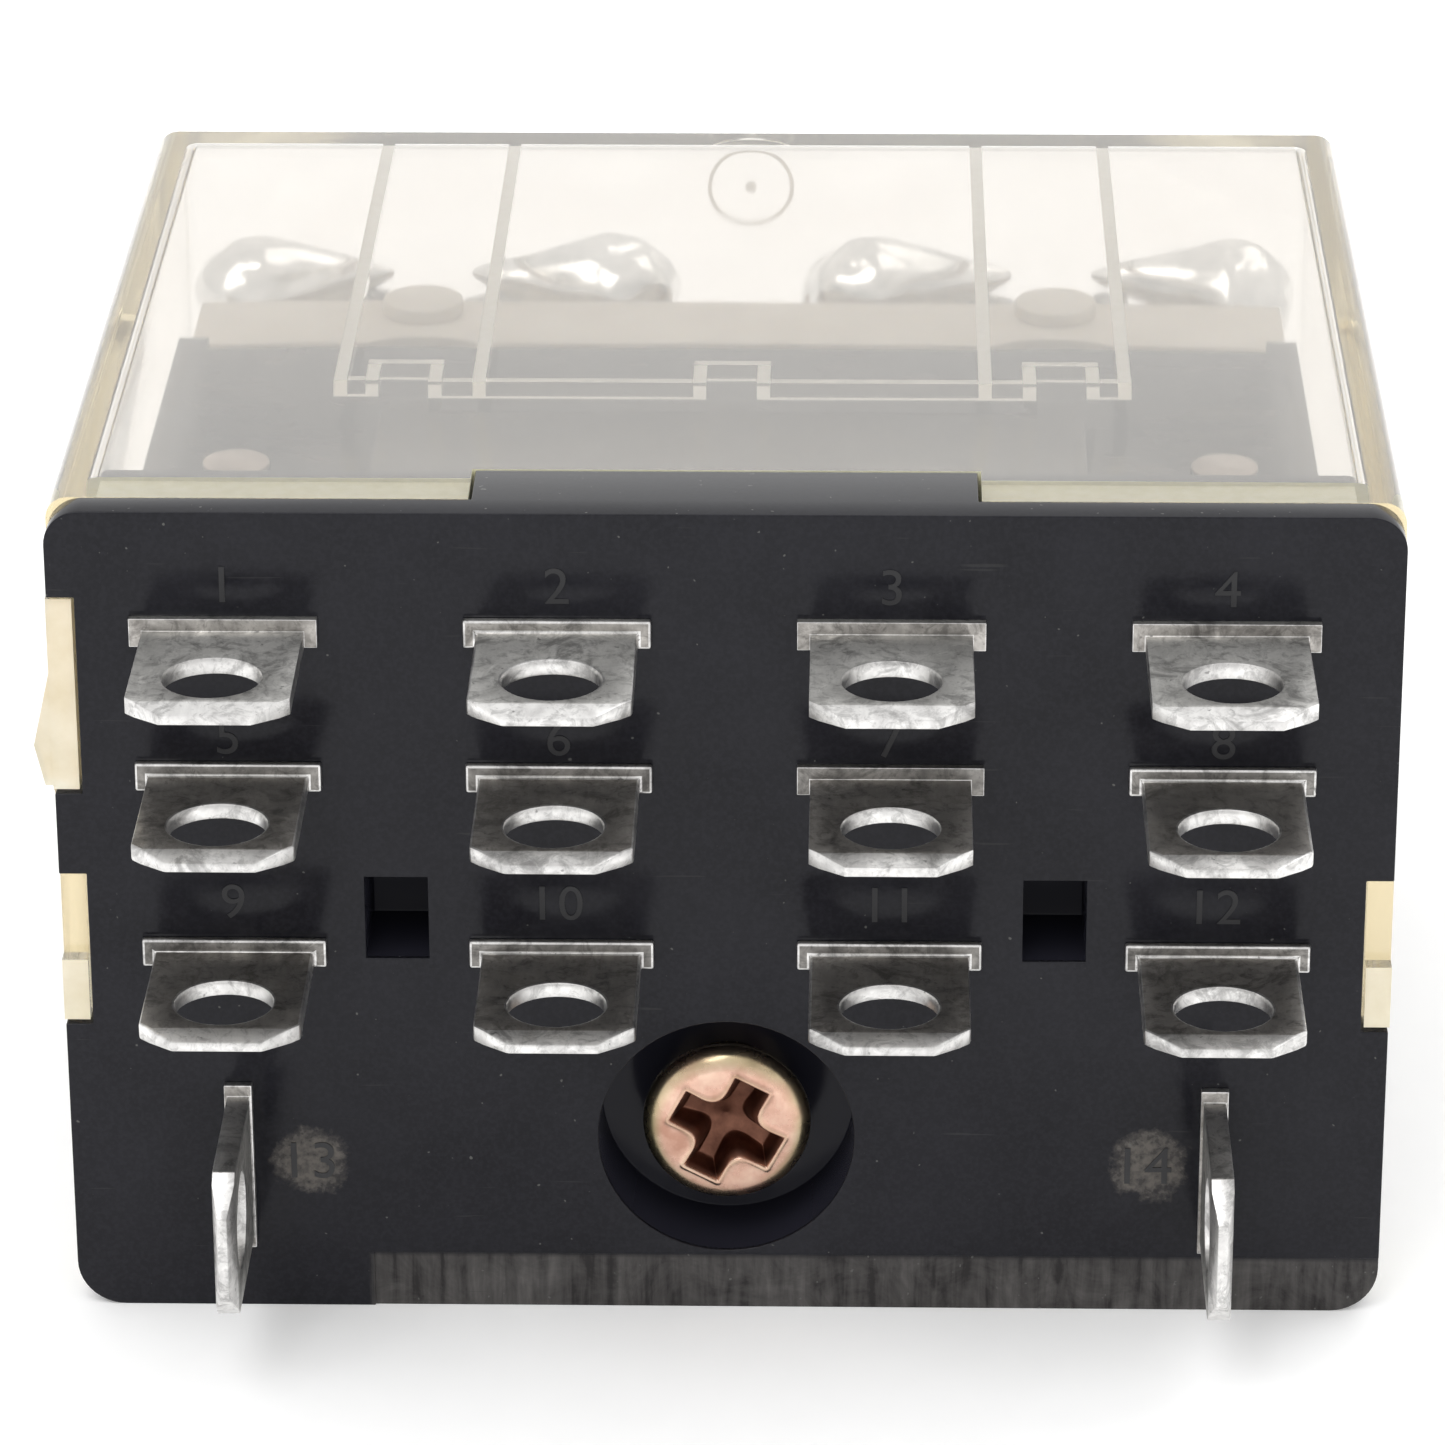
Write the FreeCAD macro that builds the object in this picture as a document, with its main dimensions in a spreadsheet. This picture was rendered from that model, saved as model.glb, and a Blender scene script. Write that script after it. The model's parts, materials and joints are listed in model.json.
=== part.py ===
import FreeCAD, Part
import math
import os
import Sketcher

V = FreeCAD.Vector

# Four-pole plug-in control relay, in millimetres.
# It lies on one broad side: X across, Y from the blades (-Y) to the cover's end (+Y), Z up.
# The origin is the centre of the broad face it lies on.
doc = FreeCAD.newDocument("control_relay")

SIZES = [
    # base moulding
    ("base_width", 41.0), ("base_height", 27.0), ("flange_depth", 1.2),
    ("face_pos", -14.8), ("plug_width", 38.8), ("plug_low", 1.12), ("plug_high", 25.88),
    ("plug_back", 4.4), ("corner_high", 1.1), ("corner_low", 1.5),
    ("tongue_width", 15.3), ("tongue_back", 3.55),
    ("slab_width", 36.6), ("slab_back", 18.6), ("slab_low", 23.6), ("slab_high", 24.5),
    ("raised_width", 22.2), ("raised_back", 11.4), ("raised_high", 25.15), ("tooth_back", 12.6),
    ("cheek_back", 19.6), ("cheek_thick", 1.0), ("barrier_low", 14.0), ("barrier_thick", 1.2),
    ("shelf_low", 16.6), ("shelf_back", 10.5),
    ("recess_radius", 4.0), ("recess_depth", 3.0), ("screw_height", 6.06), ("screw_clear", 1.6),
    # cover
    ("cover_width", 41.1), ("cover_back", 36.0), ("cover_wall", 1.05), ("notch_half", 7.75),
    ("notch_back", 3.65), ("rib_low", 25.36), ("rib_wide", 0.36), ("rib_in", 11.88), ("rib_out", 13.5), ("rib_turn", 12.0),
    ("lip_back", 3.6), ("lip_depth", 0.42), ("edge_back", 0.4), ("end_wall", 0.65), ("cover_corner", 0.7),
    # blades
    ("pole_inner", 5.05), ("pole_outer", 15.15), ("blade_width", 4.9), ("blade_thick", 0.52),
    ("blade_reach", 6.39), ("tip_thick", 0.3), ("tip_taper", 0.8), ("tip_flat", 2.74),
    ("eyelet_radius", 1.5), ("eyelet_reach", 3.8), ("stem_width", 4.0), ("stem_start", 1.0),
    ("ear_width", 5.7), ("ear_thick", 0.30), ("ear_rise", 0.4), ("blade_gap", 0.05),
    ("closed_row", 22.73), ("open_row", 17.94), ("common_row", 12.0),
    ("closed_back", 16.2), ("open_back", 15.3), ("common_back", 8.8),
    ("coil_row", 15.2), ("coil_blade_low", 2.6), ("coil_blade_high", 7.5), ("coil_thick", 0.7),
    ("coil_stem_low", 3.5), ("coil_stem_high", 6.6), ("coil_back", 9.0),
    # contacts
    ("head_radius", 1.4), ("rivet_radius", 0.73), ("rivet_clear", 0.75),
    ("closed_contact_pos", 13.6), ("open_contact_pos", 12.7), ("open_head", 0.9),
    # screw
    ("screw_head", 2.63), ("screw_neck", 1.85), ("screw_shank", 1.5), ("screw_front", 0.4), ("screw_end", 10.6),
    ("cross_reach", 1.85), ("cross_arm", 0.98), ("cross_turn", 62.0),
    # magnet
    ("yoke_width", 19.0), ("yoke_thick", 1.5), ("yoke_low", 1.3), ("yoke_high", 11.2),
    ("arm_high", 8.5), ("yoke_front", 4.45), ("arm_back", 31.05),
    ("core_radius", 2.6), ("pole_radius", 2.9), ("core_step", 29.35),
    ("tube_outer", 3.3), ("tube_inner", 2.65), ("bobbin_radius", 4.85),
    ("bobbin_front", 6.05), ("bobbin_back", 29.2), ("bobbin_cheek", 1.0),
    ("wound_radius", 4.45), ("tape_radius", 4.65), ("lead_radius", 0.15),
    ("hinge_back", 29.9), ("hinge_high", 2.4), ("pin_radius", 0.6), ("pin_half", 9.75),
    ("yoke_bore", 0.61), ("ear_bore", 0.66),
    # armature and card
    ("swing", 3.0), ("plate_thick", 1.3), ("plate_front", 1.3), ("plate_half", 9.3), ("neck_half", 7.0),
    ("tab_low", 18.2), ("tab_high", 19.5), ("tab_half", 12.5),
    ("card_half", 18.1), ("card_front", 21.3), ("card_back", 25.6), ("card_low", 19.55),
    ("card_high", 23.6), ("card_shelf_back", 30.6), ("card_shelf_high", 20.95),
    ("peg_pos", 10.5), ("peg_back", 24.2), ("peg_radius", 1.35), ("peg_high", 24.15),
    ("spring_half", 1.8), ("spring_thick", 0.3), ("spring_front", 12.0), ("spring_back", 30.4),
    ("coil_spring_radius", 1.3), ("coil_spring_wire", 0.2), ("coil_spring_high", 16.3),
    ("pigtail_radius", 0.35),
]

sheet = doc.addObject("Spreadsheet::Sheet", "Dims")
for row, (alias, number) in enumerate(SIZES, start=1):
    sheet.set("A%d" % row, alias)
    sheet.set("B%d" % row, str(number))
    sheet.setAlias("B%d" % row, alias)
doc.recompute()


class Size:
    """A length with the sheet expression that gives it."""

    def __init__(self, value, text):
        self.value = float(value)
        self.text = text

    def mix(self, other, sign, swap=False):
        other = as_size(other)
        one, two = (other, self) if swap else (self, other)
        a, b = one.value, two.value
        value = {"+": a + b, "-": a - b, "*": a * b, "/": a / b if b else 0.0}[sign]
        return Size(value, "(%s %s %s)" % (one.text, sign, two.text))

    def __add__(self, other): return self.mix(other, "+")
    def __radd__(self, other): return self.mix(other, "+", True)
    def __sub__(self, other): return self.mix(other, "-")
    def __rsub__(self, other): return self.mix(other, "-", True)
    def __mul__(self, other): return self.mix(other, "*")
    def __rmul__(self, other): return self.mix(other, "*", True)
    def __truediv__(self, other): return self.mix(other, "/")
    def __neg__(self): return self.mix(-1.0, "*")


def as_size(number):
    if isinstance(number, Size):
        return number
    return Size(number, "(%.6f)" % number)


class Dims:
    """Each cell of the sheet, by its alias."""


d = Dims()
for alias, _ in SIZES:
    setattr(d, alias, Size(float(sheet.get(alias)), "Dims." + alias))


def bind(obj, prop, number):
    obj.setExpression(prop, as_size(number).text)


def at(depth):
    """Row Y of a depth measured back from the base's front face."""
    return d.face_pos + depth


count = [0]


def name_of(kind):
    count[0] += 1
    return "%s_%03d" % (kind, count[0])


def box(x0, x1, y0, y1, z0, z1):
    """Box between X limits, depths behind the front face and heights."""
    b = doc.addObject("Part::Box", name_of("Block"))
    x0, x1, z0, z1 = map(as_size, (x0, x1, z0, z1))
    y0, y1 = at(y0), at(y1)
    for prop, lo, hi in (("Length", x0, x1), ("Width", y0, y1), ("Height", z0, z1)):
        bind(b, prop, hi - lo)
    for prop, lo in (("x", x0), ("y", y0), ("z", z0)):
        bind(b, "Placement.Base." + prop, lo)
    return b


TURNS = {
    "X": FreeCAD.Rotation(V(0, 1, 0), 90),
    "Y": FreeCAD.Rotation(V(1, 0, 0), -90),
    "Z": FreeCAD.Rotation(),
}


def rod(along, x, y, z, radius, length):
    """Cylinder from a point (depth y) towards + of one axis."""
    c = doc.addObject("Part::Cylinder", name_of("Rod"))
    c.Placement = FreeCAD.Placement(V(), TURNS[along])
    bind(c, "Radius", radius)
    bind(c, "Height", length)
    for prop, value in (("x", as_size(x)), ("y", at(y)), ("z", as_size(z))):
        bind(c, "Placement.Base." + prop, value)
    return c


def fuse(parts):
    if len(parts) == 1:
        return parts[0]
    f = doc.addObject("Part::MultiFuse", name_of("Joined"))
    f.Shapes = parts
    return f


def cut(solid, tools):
    c = doc.addObject("Part::Cut", name_of("Trimmed"))
    c.Base = solid
    c.Tool = fuse(tools)
    return c


def group(parts):
    g = doc.addObject("Part::Compound", name_of("Group"))
    g.Links = parts
    return g


def mirror(xs):
    return (xs, (-xs[1], -xs[0]))


def rounded(solid, choose):
    """Fillet the edges of a solid for which choose(edge) gives a radius."""
    doc.recompute()
    edges = []
    for i, e in enumerate(solid.Shape.Edges, start=1):
        r = choose(e)
        if r:
            edges.append((i, r, r))
    f = doc.addObject("Part::Fillet", name_of("Rounded"))
    f.Base = solid
    f.Edges = edges
    doc.recompute()
    return f


def origin_plane(body, role):
    return [f for f in body.Origin.OriginFeatures if f.Role == role][0]


def outline(body, role, points):
    """Closed sketch of straight lines on one of the body's own planes, every corner bound to the sheet."""
    sk = body.newObject("Sketcher::SketchObject", name_of("Outline"))
    sk.AttachmentSupport = (origin_plane(body, role), [""])
    sk.MapMode = "FlatFace"
    points = [(as_size(a), as_size(b)) for a, b in points]
    n = len(points)
    for i in range(n):
        a, b = points[i], points[(i + 1) % n]
        sk.addGeometry(Part.LineSegment(V(a[0].value, a[1].value, 0), V(b[0].value, b[1].value, 0)), False)
    for i in range(n):
        sk.addConstraint(Sketcher.Constraint("Coincident", i, 2, (i + 1) % n, 1))
    for i, (a, b) in enumerate(points):
        for kind, value in (("DistanceX", a), ("DistanceY", b)):
            c = sk.addConstraint(Sketcher.Constraint(kind, -1, 1, i, 1, value.value))
            label = "%s%d" % (kind[-1].lower(), i)
            sk.renameConstraint(c, label)
            sk.setExpression("Constraints." + label, value.text)
    return sk


def rings(body, role, circles):
    """Sketch of circles (x, y, radius)."""
    sk = body.newObject("Sketcher::SketchObject", name_of("Rings"))
    sk.AttachmentSupport = (origin_plane(body, role), [""])
    sk.MapMode = "FlatFace"
    for i, (x, y, r) in enumerate(circles):
        x, y, r = map(as_size, (x, y, r))
        sk.addGeometry(Part.Circle(V(x.value, y.value, 0), V(0, 0, 1), r.value), False)
        for kind, value in (("DistanceX", x), ("DistanceY", y)):
            c = sk.addConstraint(Sketcher.Constraint(kind, -1, 1, i, 3, value.value))
            label = "%s%d" % (kind[-1].lower(), i)
            sk.renameConstraint(c, label)
            sk.setExpression("Constraints." + label, value.text)
        c = sk.addConstraint(Sketcher.Constraint("Radius", i, r.value))
        sk.renameConstraint(c, "r%d" % i)
        sk.setExpression("Constraints.r%d" % i, r.text)
    return sk


def pad(body, sketch, length):
    p = body.newObject("PartDesign::Pad", name_of("Pad"))
    p.Profile = sketch
    p.Midplane = True
    bind(p, "Length", length)
    return p


def pocket(body, sketch):
    before = body.Shape.Volume
    p = body.newObject("PartDesign::Pocket", name_of("Pocket"))
    p.Profile = sketch
    p.Type = "ThroughAll"
    p.Midplane = True
    doc.recompute()
    assert body.Shape.Volume < before - 1e-4, "pocket cut nothing"
    return p


def new_body(label):
    b = doc.addObject("PartDesign::Body", label)
    b.Label = label
    return b


def place(obj, x, y, z, turn=None):
    obj.Placement = FreeCAD.Placement(V(), turn or FreeCAD.Rotation())
    for prop, value in (("x", x), ("y", y), ("z", z)):
        bind(obj, "Placement.Base." + prop, value)
    return obj


nodes = []


def node(obj, label):
    obj.Label = label
    nodes.append(obj)
    return obj


# ------------------------------------------------------------------ base moulding
half = d.base_width / 2
poles = [-d.pole_outer, -d.pole_inner, d.pole_inner, d.pole_outer]


def base_moulding():
    flange = rounded(
        box(-half, half, 0, d.flange_depth, 0, d.base_height),
        lambda e: (0.0 if abs(e.tangentAt(e.FirstParameter).y) < 0.9 else
                   (d.corner_high.value if e.CenterOfMass.z > 10 else d.corner_low.value)))
    solid = [
        flange,
        rounded(box(-d.plug_width / 2, d.plug_width / 2, d.lip_back + 0.1, d.plug_back, d.plug_low, d.plug_high),
                lambda e: 0.5 if abs(e.tangentAt(e.FirstParameter).y) > 0.9 else 0.0),
        box(-d.plug_width / 2 + d.lip_depth, d.plug_width / 2 - d.lip_depth, d.flange_depth, d.lip_back + 0.2,
            d.plug_low + d.lip_depth, d.plug_high - d.lip_depth),
        # tongues that fill the cover's notches, above and below
        box(-d.tongue_width / 2, d.tongue_width / 2, d.flange_depth, d.tongue_back, d.plug_high - d.lip_depth - 0.2, d.base_height),
        box(-d.tongue_width / 2, d.tongue_width / 2, d.flange_depth, d.tongue_back, 0, d.plug_low + d.lip_depth + 0.2),
        # roof over the contact chambers
        box(-d.slab_width / 2, d.slab_width / 2, d.plug_back - 0.1, d.slab_back, d.slab_low, d.slab_high),
        box(-d.raised_width / 2, d.raised_width / 2, d.plug_back - 0.1, d.raised_back, d.slab_high - 0.1, d.raised_high),
        box(-0.65, 0.65, d.raised_back - 0.1, d.tooth_back, d.slab_high - 0.1, d.raised_high),
        # shelf under the normally open blades
        box(-d.slab_width / 2, d.slab_width / 2, d.plug_back - 0.1, d.shelf_back, d.shelf_low, d.open_row - d.blade_gap),
        # seat of the return spring
        box(-2.0, 2.0, d.slab_back - 1.2, d.slab_back, d.coil_spring_high - 2.0, d.coil_spring_high + 2.0),
    ]
    for lo, hi in mirror((9.15, 10.85)):
        solid.append(box(lo, hi, d.raised_back - 0.1, d.tooth_back, d.slab_high - 0.1, d.raised_high))
    # outer cheeks of the contact block
    for lo, hi in mirror((d.slab_width / 2 - d.cheek_thick, d.slab_width / 2)):
        solid.append(box(lo, hi, d.plug_back - 0.1, d.cheek_back, d.barrier_low, d.slab_high))
    # barriers between the poles
    for x in (-(d.pole_inner + d.pole_outer) / 2, as_size(0.0), (d.pole_inner + d.pole_outer) / 2):
        solid.append(box(x - d.barrier_thick / 2, x + d.barrier_thick / 2, d.plug_back - 0.1, d.slab_back,
                         d.barrier_low, d.slab_low + 0.1))
    gap = d.blade_gap
    tools = [
        # counterbore and hole of the frame screw
        rod("Y", 0, -0.1, d.screw_height, d.recess_radius, d.recess_depth + 0.1),
        rod("Y", 0, 0, d.screw_height, d.screw_clear, d.plug_back + 0.1),
        # pad stepped down along the bottom edge
        box(-11.1, half + 0.1, -0.1, 0.08, -0.1, 1.9),
        # side notches for the cover's latch tabs
        box(-half - 0.1, -19.65, -0.1, d.flange_depth, 17.7, 24.2),
        box(-half - 0.1, -19.65, -0.1, d.flange_depth, 9.85, 15.0),
        box(19.65, half + 0.1, -0.1, d.flange_depth, 9.85, 15.0),
    ]
    for lo, hi in mirror((9.15, 11.1)):
        tools.append(box(lo, hi, -0.1, 3.4, 12.2, 14.95))
    # rivet holes in the roof, over the outer normally closed blades
    for x in (-15.4, 15.4):
        tools.append(rod("Z", x, 8.2, d.slab_low - 0.2, 0.95, 2.0))
    # blade slots, wide in the flange and stem-wide behind
    for x in poles:
        for low in (d.closed_row, d.open_row, d.common_row):
            z0, z1 = low - gap, low + d.blade_thick + gap
            w = d.blade_width / 2 + gap
            tools.append(box(x - w, x + w, -0.1, d.stem_start + gap, z0, z1))
            w = d.stem_width / 2 + gap
            tools.append(box(x - w, x + w, 0.5, d.plug_back + 0.1, z0, z1))
    for x in (-d.coil_row, d.coil_row):
        w = d.coil_thick / 2 + gap
        tools.append(box(x - w, x + w, -0.1, d.stem_start + gap, d.coil_blade_low - gap, d.coil_blade_high + gap))
        tools.append(box(x - w, x + w, 0.5, d.plug_back + 0.1, d.coil_stem_low - gap, d.coil_stem_high + gap))
    return cut(fuse(solid), tools)


node(base_moulding(), "base")
node(group([
    fuse([rod("Z", x, 8.2, d.slab_low, 0.93, d.slab_high - d.slab_low + 0.05),
          rod("Z", x, 8.2, d.slab_high, 1.05, 0.16)])
    for x in (-15.4, 15.4)]), "roof_rivets")


# ------------------------------------------------------------------ clear cover
def clear_cover():
    w, wall = d.cover_width / 2, d.cover_wall
    back, front = d.cover_back, d.flange_depth

    def edge_radius(e):
        c = e.CenterOfMass
        along_y = abs(e.tangentAt(e.FirstParameter).y) > 0.9
        if along_y:
            return d.cover_corner.value if c.z > 10 else d.corner_low.value
        if c.y > (d.face_pos + back).value - 0.1:
            return d.edge_back.value
        return 0.0

    shell = rounded(box(-w, w, front, back, 0, d.base_height), edge_radius)
    cavity = rounded(
        box(-w + wall, w - wall, front - 1.0, back - d.end_wall, wall, d.base_height - wall),
        lambda e: 0.45 if e.CenterOfMass.y > (d.face_pos + front).value else 0.0)
    # the cavity is narrower inside the rim, which leaves a lip all round
    lip = wall + d.lip_depth
    rim = box(-w + lip, w - lip, front - 1.0, d.lip_back + 0.5, lip, d.base_height - lip)
    hollow_back = cut(cavity, [box(-w, w, front - 1.5, d.lip_back, -1.0, d.base_height + 1.0)])
    tools = [hollow_back, rim]
    for z0, z1 in ((d.base_height - lip - 0.2, d.base_height + 0.1), (as_size(-0.1), lip + 0.2)):
        tools.append(box(-d.notch_half, d.notch_half, front - 0.1, d.notch_back, z0, z1))
    # ring mark on the end wall
    ring = cut(rod("Y", 0.2, back - 0.08, 24.2, 1.5, 0.2), [rod("Y", 0.2, back - 0.1, 24.2, 1.36, 0.3)])
    tools += [ring, rod("Y", 0.2, back - 0.08, 24.2, 0.2, 0.2)]
    hollow = cut(shell, tools)
    r = d.rib_wide
    top = d.base_height - wall + 0.1
    ribs = []

    def rib(x0, x1, y0, y1):
        ribs.append(box(x0, x1, y0, y1, d.rib_low, top))

    y_in, y_out, y_turn = d.rib_in, d.rib_out, d.rib_turn
    # rib that runs along the deck in steps
    rib(-1.15, 1.15, y_out, y_out + r)
    for s in (1, -1):
        def span(a, b, y0, y1):
            a, b = as_size(a), as_size(b)
            rib(a if s > 0 else -b, b if s > 0 else -a, y0, y1)
        span(0.8, 1.22, y_in, y_out + r)
        span(0.8, 9.5, y_in, y_in + r)
        span(9.2, 9.62, y_in, y_out + r)
        span(9.2, 11.5, y_out, y_out + r)
        span(11.2, 11.62, y_turn, y_out + r)
        span(11.2, 12.62, y_turn, r + y_turn)
        # long ribs to the end wall
        span(12.2, 12.62, y_turn, back - d.end_wall + 0.1)
        span(7.8, 8.22, y_in + r - 0.1, back - d.end_wall + 0.1)
    # latch tabs in the base's side notches
    tabs = []
    for s in (1, -1):
        for y0, z0, z1 in ((0.15, 9.95, 12.0), (0.7, 11.9, 14.9)):
            a, b = w - 0.8, w
            tabs.append(box(a if s > 0 else -b, b if s > 0 else -a, y0, front + 0.6, z0, z1))
    tabs.append(box(-w, -w + 0.8, 0.15, front + 0.6, 17.8, 24.1))
    return hollow, ribs, tabs


hollow, ribs, tabs = clear_cover()
# snap bulge on the left wall: a low prism along the wall, carried on over the latch tab
w = d.cover_width / 2
ridges = []
for label, middle, length, points in (
        ("snap_bulge", 3.7, 5.0, [(-w + 0.1, 16.3), (-w - 0.55, 19.24), (-w + 0.1, 22.1)]),
        ("tab_bulge", 0.8, 1.2, [(-w + 0.2, 17.9), (-w - 0.25, 17.9), (-w - 0.55, 19.24), (-w + 0.1, 22.1)])):
    ridge_body = new_body(label)
    pad(ridge_body, outline(ridge_body, "XZ_Plane", points), length)
    place(ridge_body, 0, at(middle), 0)
    ridges.append(ridge_body)
node(fuse([hollow] + ribs + tabs + ridges), "cover")


# ------------------------------------------------------------------ blade terminals
def contact_blade(label, x, low, back, hole=None):
    """Flat blade with a tapered tip and an eyelet; its stem runs back into the base."""
    b = new_body(label)
    thick, reach = d.blade_thick, d.blade_reach
    slope = (thick - d.tip_thick) / 2
    side = outline(b, "YZ_Plane", [
        (d.stem_start, 0), (d.stem_start, thick), (-reach + d.tip_taper, thick),
        (-reach, thick - slope), (-reach, slope), (-reach + d.tip_taper, 0)])
    pad(b, side, d.blade_width)
    stem = outline(b, "YZ_Plane", [(d.stem_start - 0.2, 0), (back, 0), (back, thick), (d.stem_start - 0.2, thick)])
    pad(b, stem, d.stem_width)
    ears = outline(b, "YZ_Plane", [(-d.ear_thick, 0.0), (-0.01, 0.0), (-0.01, thick + d.ear_rise), (-d.ear_thick, thick + d.ear_rise)])
    pad(b, ears, d.ear_width)
    doc.recompute()
    circles = [(0, -d.eyelet_reach, d.eyelet_radius)]
    if hole is not None:
        circles.append((0, hole, d.rivet_clear))
    pocket(b, rings(b, "XY_Plane", circles))
    f, w2 = d.tip_flat / 2, d.blade_width / 2
    for s in (1, -1):
        pocket(b, outline(b, "XY_Plane", [
            (f * s, -reach - 0.3), (f * s, -reach), (w2 * s, -reach + (w2 - f)),
            (w2 * s + 0.3 * s, -reach + (w2 - f)), (w2 * s + 0.3 * s, -reach - 0.3)]))
    place(b, x, d.face_pos, low)
    return node(b, label)


number = 1
for row, low, back, hole in (("closed", d.closed_row, d.closed_back, d.closed_contact_pos),
                             ("open", d.open_row, d.open_back, d.open_contact_pos),
                             ("common", d.common_row, d.common_back, None)):
    for x in poles:
        contact_blade("terminal_%02d_%s" % (number, row), x, low, back, hole)
        number += 1


def coil_blade(label, x):
    """Upright blade of the coil circuit."""
    b = new_body(label)
    thick, reach = d.coil_thick, d.blade_reach
    slope = (thick - d.tip_thick) / 2
    low, high = d.coil_blade_low, d.coil_blade_high
    mid = (low + high) / 2
    t = thick / 2
    plan = outline(b, "XY_Plane", [
        (-t, d.stem_start), (t, d.stem_start), (t, -reach + d.tip_taper), (t - slope, -reach),
        (-t + slope, -reach), (-t, -reach + d.tip_taper)])
    pad(b, plan, d.blade_width)
    stem = outline(b, "XY_Plane", [(-t, d.stem_start - 0.2), (t, d.stem_start - 0.2), (t, d.coil_back), (-t, d.coil_back)])
    pad(b, stem, d.coil_stem_high - d.coil_stem_low)
    wide = t + 0.08
    ears = outline(b, "XY_Plane", [(-wide, -d.ear_thick), (wide, -d.ear_thick), (wide, -0.01), (-wide, -0.01)])
    pad(b, ears, d.ear_width)
    doc.recompute()
    pocket(b, rings(b, "YZ_Plane", [(-d.eyelet_reach, 0, d.eyelet_radius)]))
    f, w2 = d.tip_flat / 2, d.blade_width / 2
    for s in (1, -1):
        pocket(b, outline(b, "YZ_Plane", [
            (-reach - 0.3, f * s), (-reach, f * s), (-reach + (w2 - f), w2 * s),
            (-reach + (w2 - f), w2 * s + 0.3 * s), (-reach - 0.3, w2 * s + 0.3 * s)]))
    place(b, x, d.face_pos, mid)
    return node(b, label)


coil_blade("terminal_13_coil", -d.coil_row)
coil_blade("terminal_14_coil", d.coil_row)


# ------------------------------------------------------------------ fixed contacts
for i, x in enumerate(poles, start=1):
    top = d.closed_row + d.blade_thick
    head = rod("Z", x, d.closed_contact_pos, d.closed_row - 0.65, d.head_radius, 0.65)
    shank = rod("Z", x, d.closed_contact_pos, d.closed_row - 0.1, d.rivet_radius, d.blade_thick + 0.1)
    node(fuse([head, shank]), "closed_contact_%d" % i)
for i, x in enumerate(poles, start=1):
    head = rod("Z", x, d.open_contact_pos, d.open_row + d.blade_thick, d.head_radius, d.open_head)
    shank = rod("Z", x, d.open_contact_pos, d.open_row, d.rivet_radius, d.blade_thick + 0.1)
    node(fuse([head, shank]), "open_contact_%d" % i)


# ------------------------------------------------------------------ frame screw
def frame_screw():
    b = new_body("frame_screw")
    f = d.screw_front
    profile = outline(b, "XY_Plane", [
        (0, f), (1.7, f), (2.25, f + 0.2), (d.screw_head, f + 0.7), (d.screw_head, f + 0.95),
        (d.screw_neck, f + 1.25), (d.screw_neck, d.recess_depth),
        (d.screw_shank, d.recess_depth), (d.screw_shank, d.screw_end - 0.4), (d.screw_shank - 0.4, d.screw_end),
        (0, d.screw_end)])
    r = b.newObject("PartDesign::Revolution", "Turned")
    r.Profile = profile
    r.ReferenceAxis = (profile, ["V_Axis"])
    r.Angle = 360.0
    doc.recompute()
    # cross recess, turned as it was tightened
    reach, arm = d.cross_reach.value, d.cross_arm.value / 2
    neck = arm + 0.28
    corner = [(reach, -arm), (reach, arm), (neck + 0.25, arm), (arm + 0.1, arm + 0.1), (arm, neck + 0.25)]
    points = []
    for q in range(4):
        turn = math.radians(90 * q + d.cross_turn.value)
        for px, pz in corner:
            points.append((px * math.cos(turn) - pz * math.sin(turn), px * math.sin(turn) + pz * math.cos(turn)))
    sk = outline(b, "XZ_Plane", points)
    before = b.Shape.Volume
    p = b.newObject("PartDesign::Pocket", "Cross")
    p.Profile = sk
    p.Type = "Length"
    p.Midplane = True
    bind(p, "Length", 2 * (f + 1.15))
    p.TaperAngle = 0
    doc.recompute()
    assert b.Shape.Volume < before - 0.5
    place(b, 0, d.face_pos, d.screw_height)
    return node(b, "frame_screw")


frame_screw()

# ------------------------------------------------------------------ magnet frame, core and coil
yw = d.yoke_width / 2
yoke_parts = [box(-yw, yw, d.yoke_front, d.yoke_front + d.yoke_thick, d.yoke_low, d.yoke_high)]
for lo, hi in mirror((yw - d.yoke_thick, yw)):
    yoke_parts.append(box(lo, hi, d.yoke_front, d.arm_back, d.yoke_low, d.arm_high))
node(cut(fuse(yoke_parts), [
    rod("Y", 0, d.yoke_front - 0.5, d.screw_height, d.screw_clear, d.yoke_thick + 1.0),
    rod("X", -yw - 1.0, d.hinge_back, d.hinge_high, d.yoke_bore, 2 * yw + 2.0),
]), "yoke")

core_front = d.yoke_front + d.yoke_thick
node(cut(fuse([
    rod("Y", 0, core_front, d.screw_height, d.core_radius, d.core_step - core_front + 0.5),
    rod("Y", 0, d.core_step, d.screw_height, d.pole_radius, d.arm_back - d.core_step),
]), [rod("Y", 0, core_front - 0.5, d.screw_height, d.screw_shank + 0.02, d.screw_end - core_front + 1.2)]), "core")

node(cut(fuse([
    rod("Y", 0, d.bobbin_front, d.screw_height, d.tube_outer, d.bobbin_back - d.bobbin_front),
    rod("Y", 0, d.bobbin_front, d.screw_height, d.bobbin_radius, d.bobbin_cheek),
    rod("Y", 0, d.bobbin_back - d.bobbin_cheek, d.screw_height, d.bobbin_radius, d.bobbin_cheek),
]), [rod("Y", 0, d.bobbin_front - 0.5, d.screw_height, d.tube_inner, d.bobbin_back - d.bobbin_front + 1.0)]), "bobbin")

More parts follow.
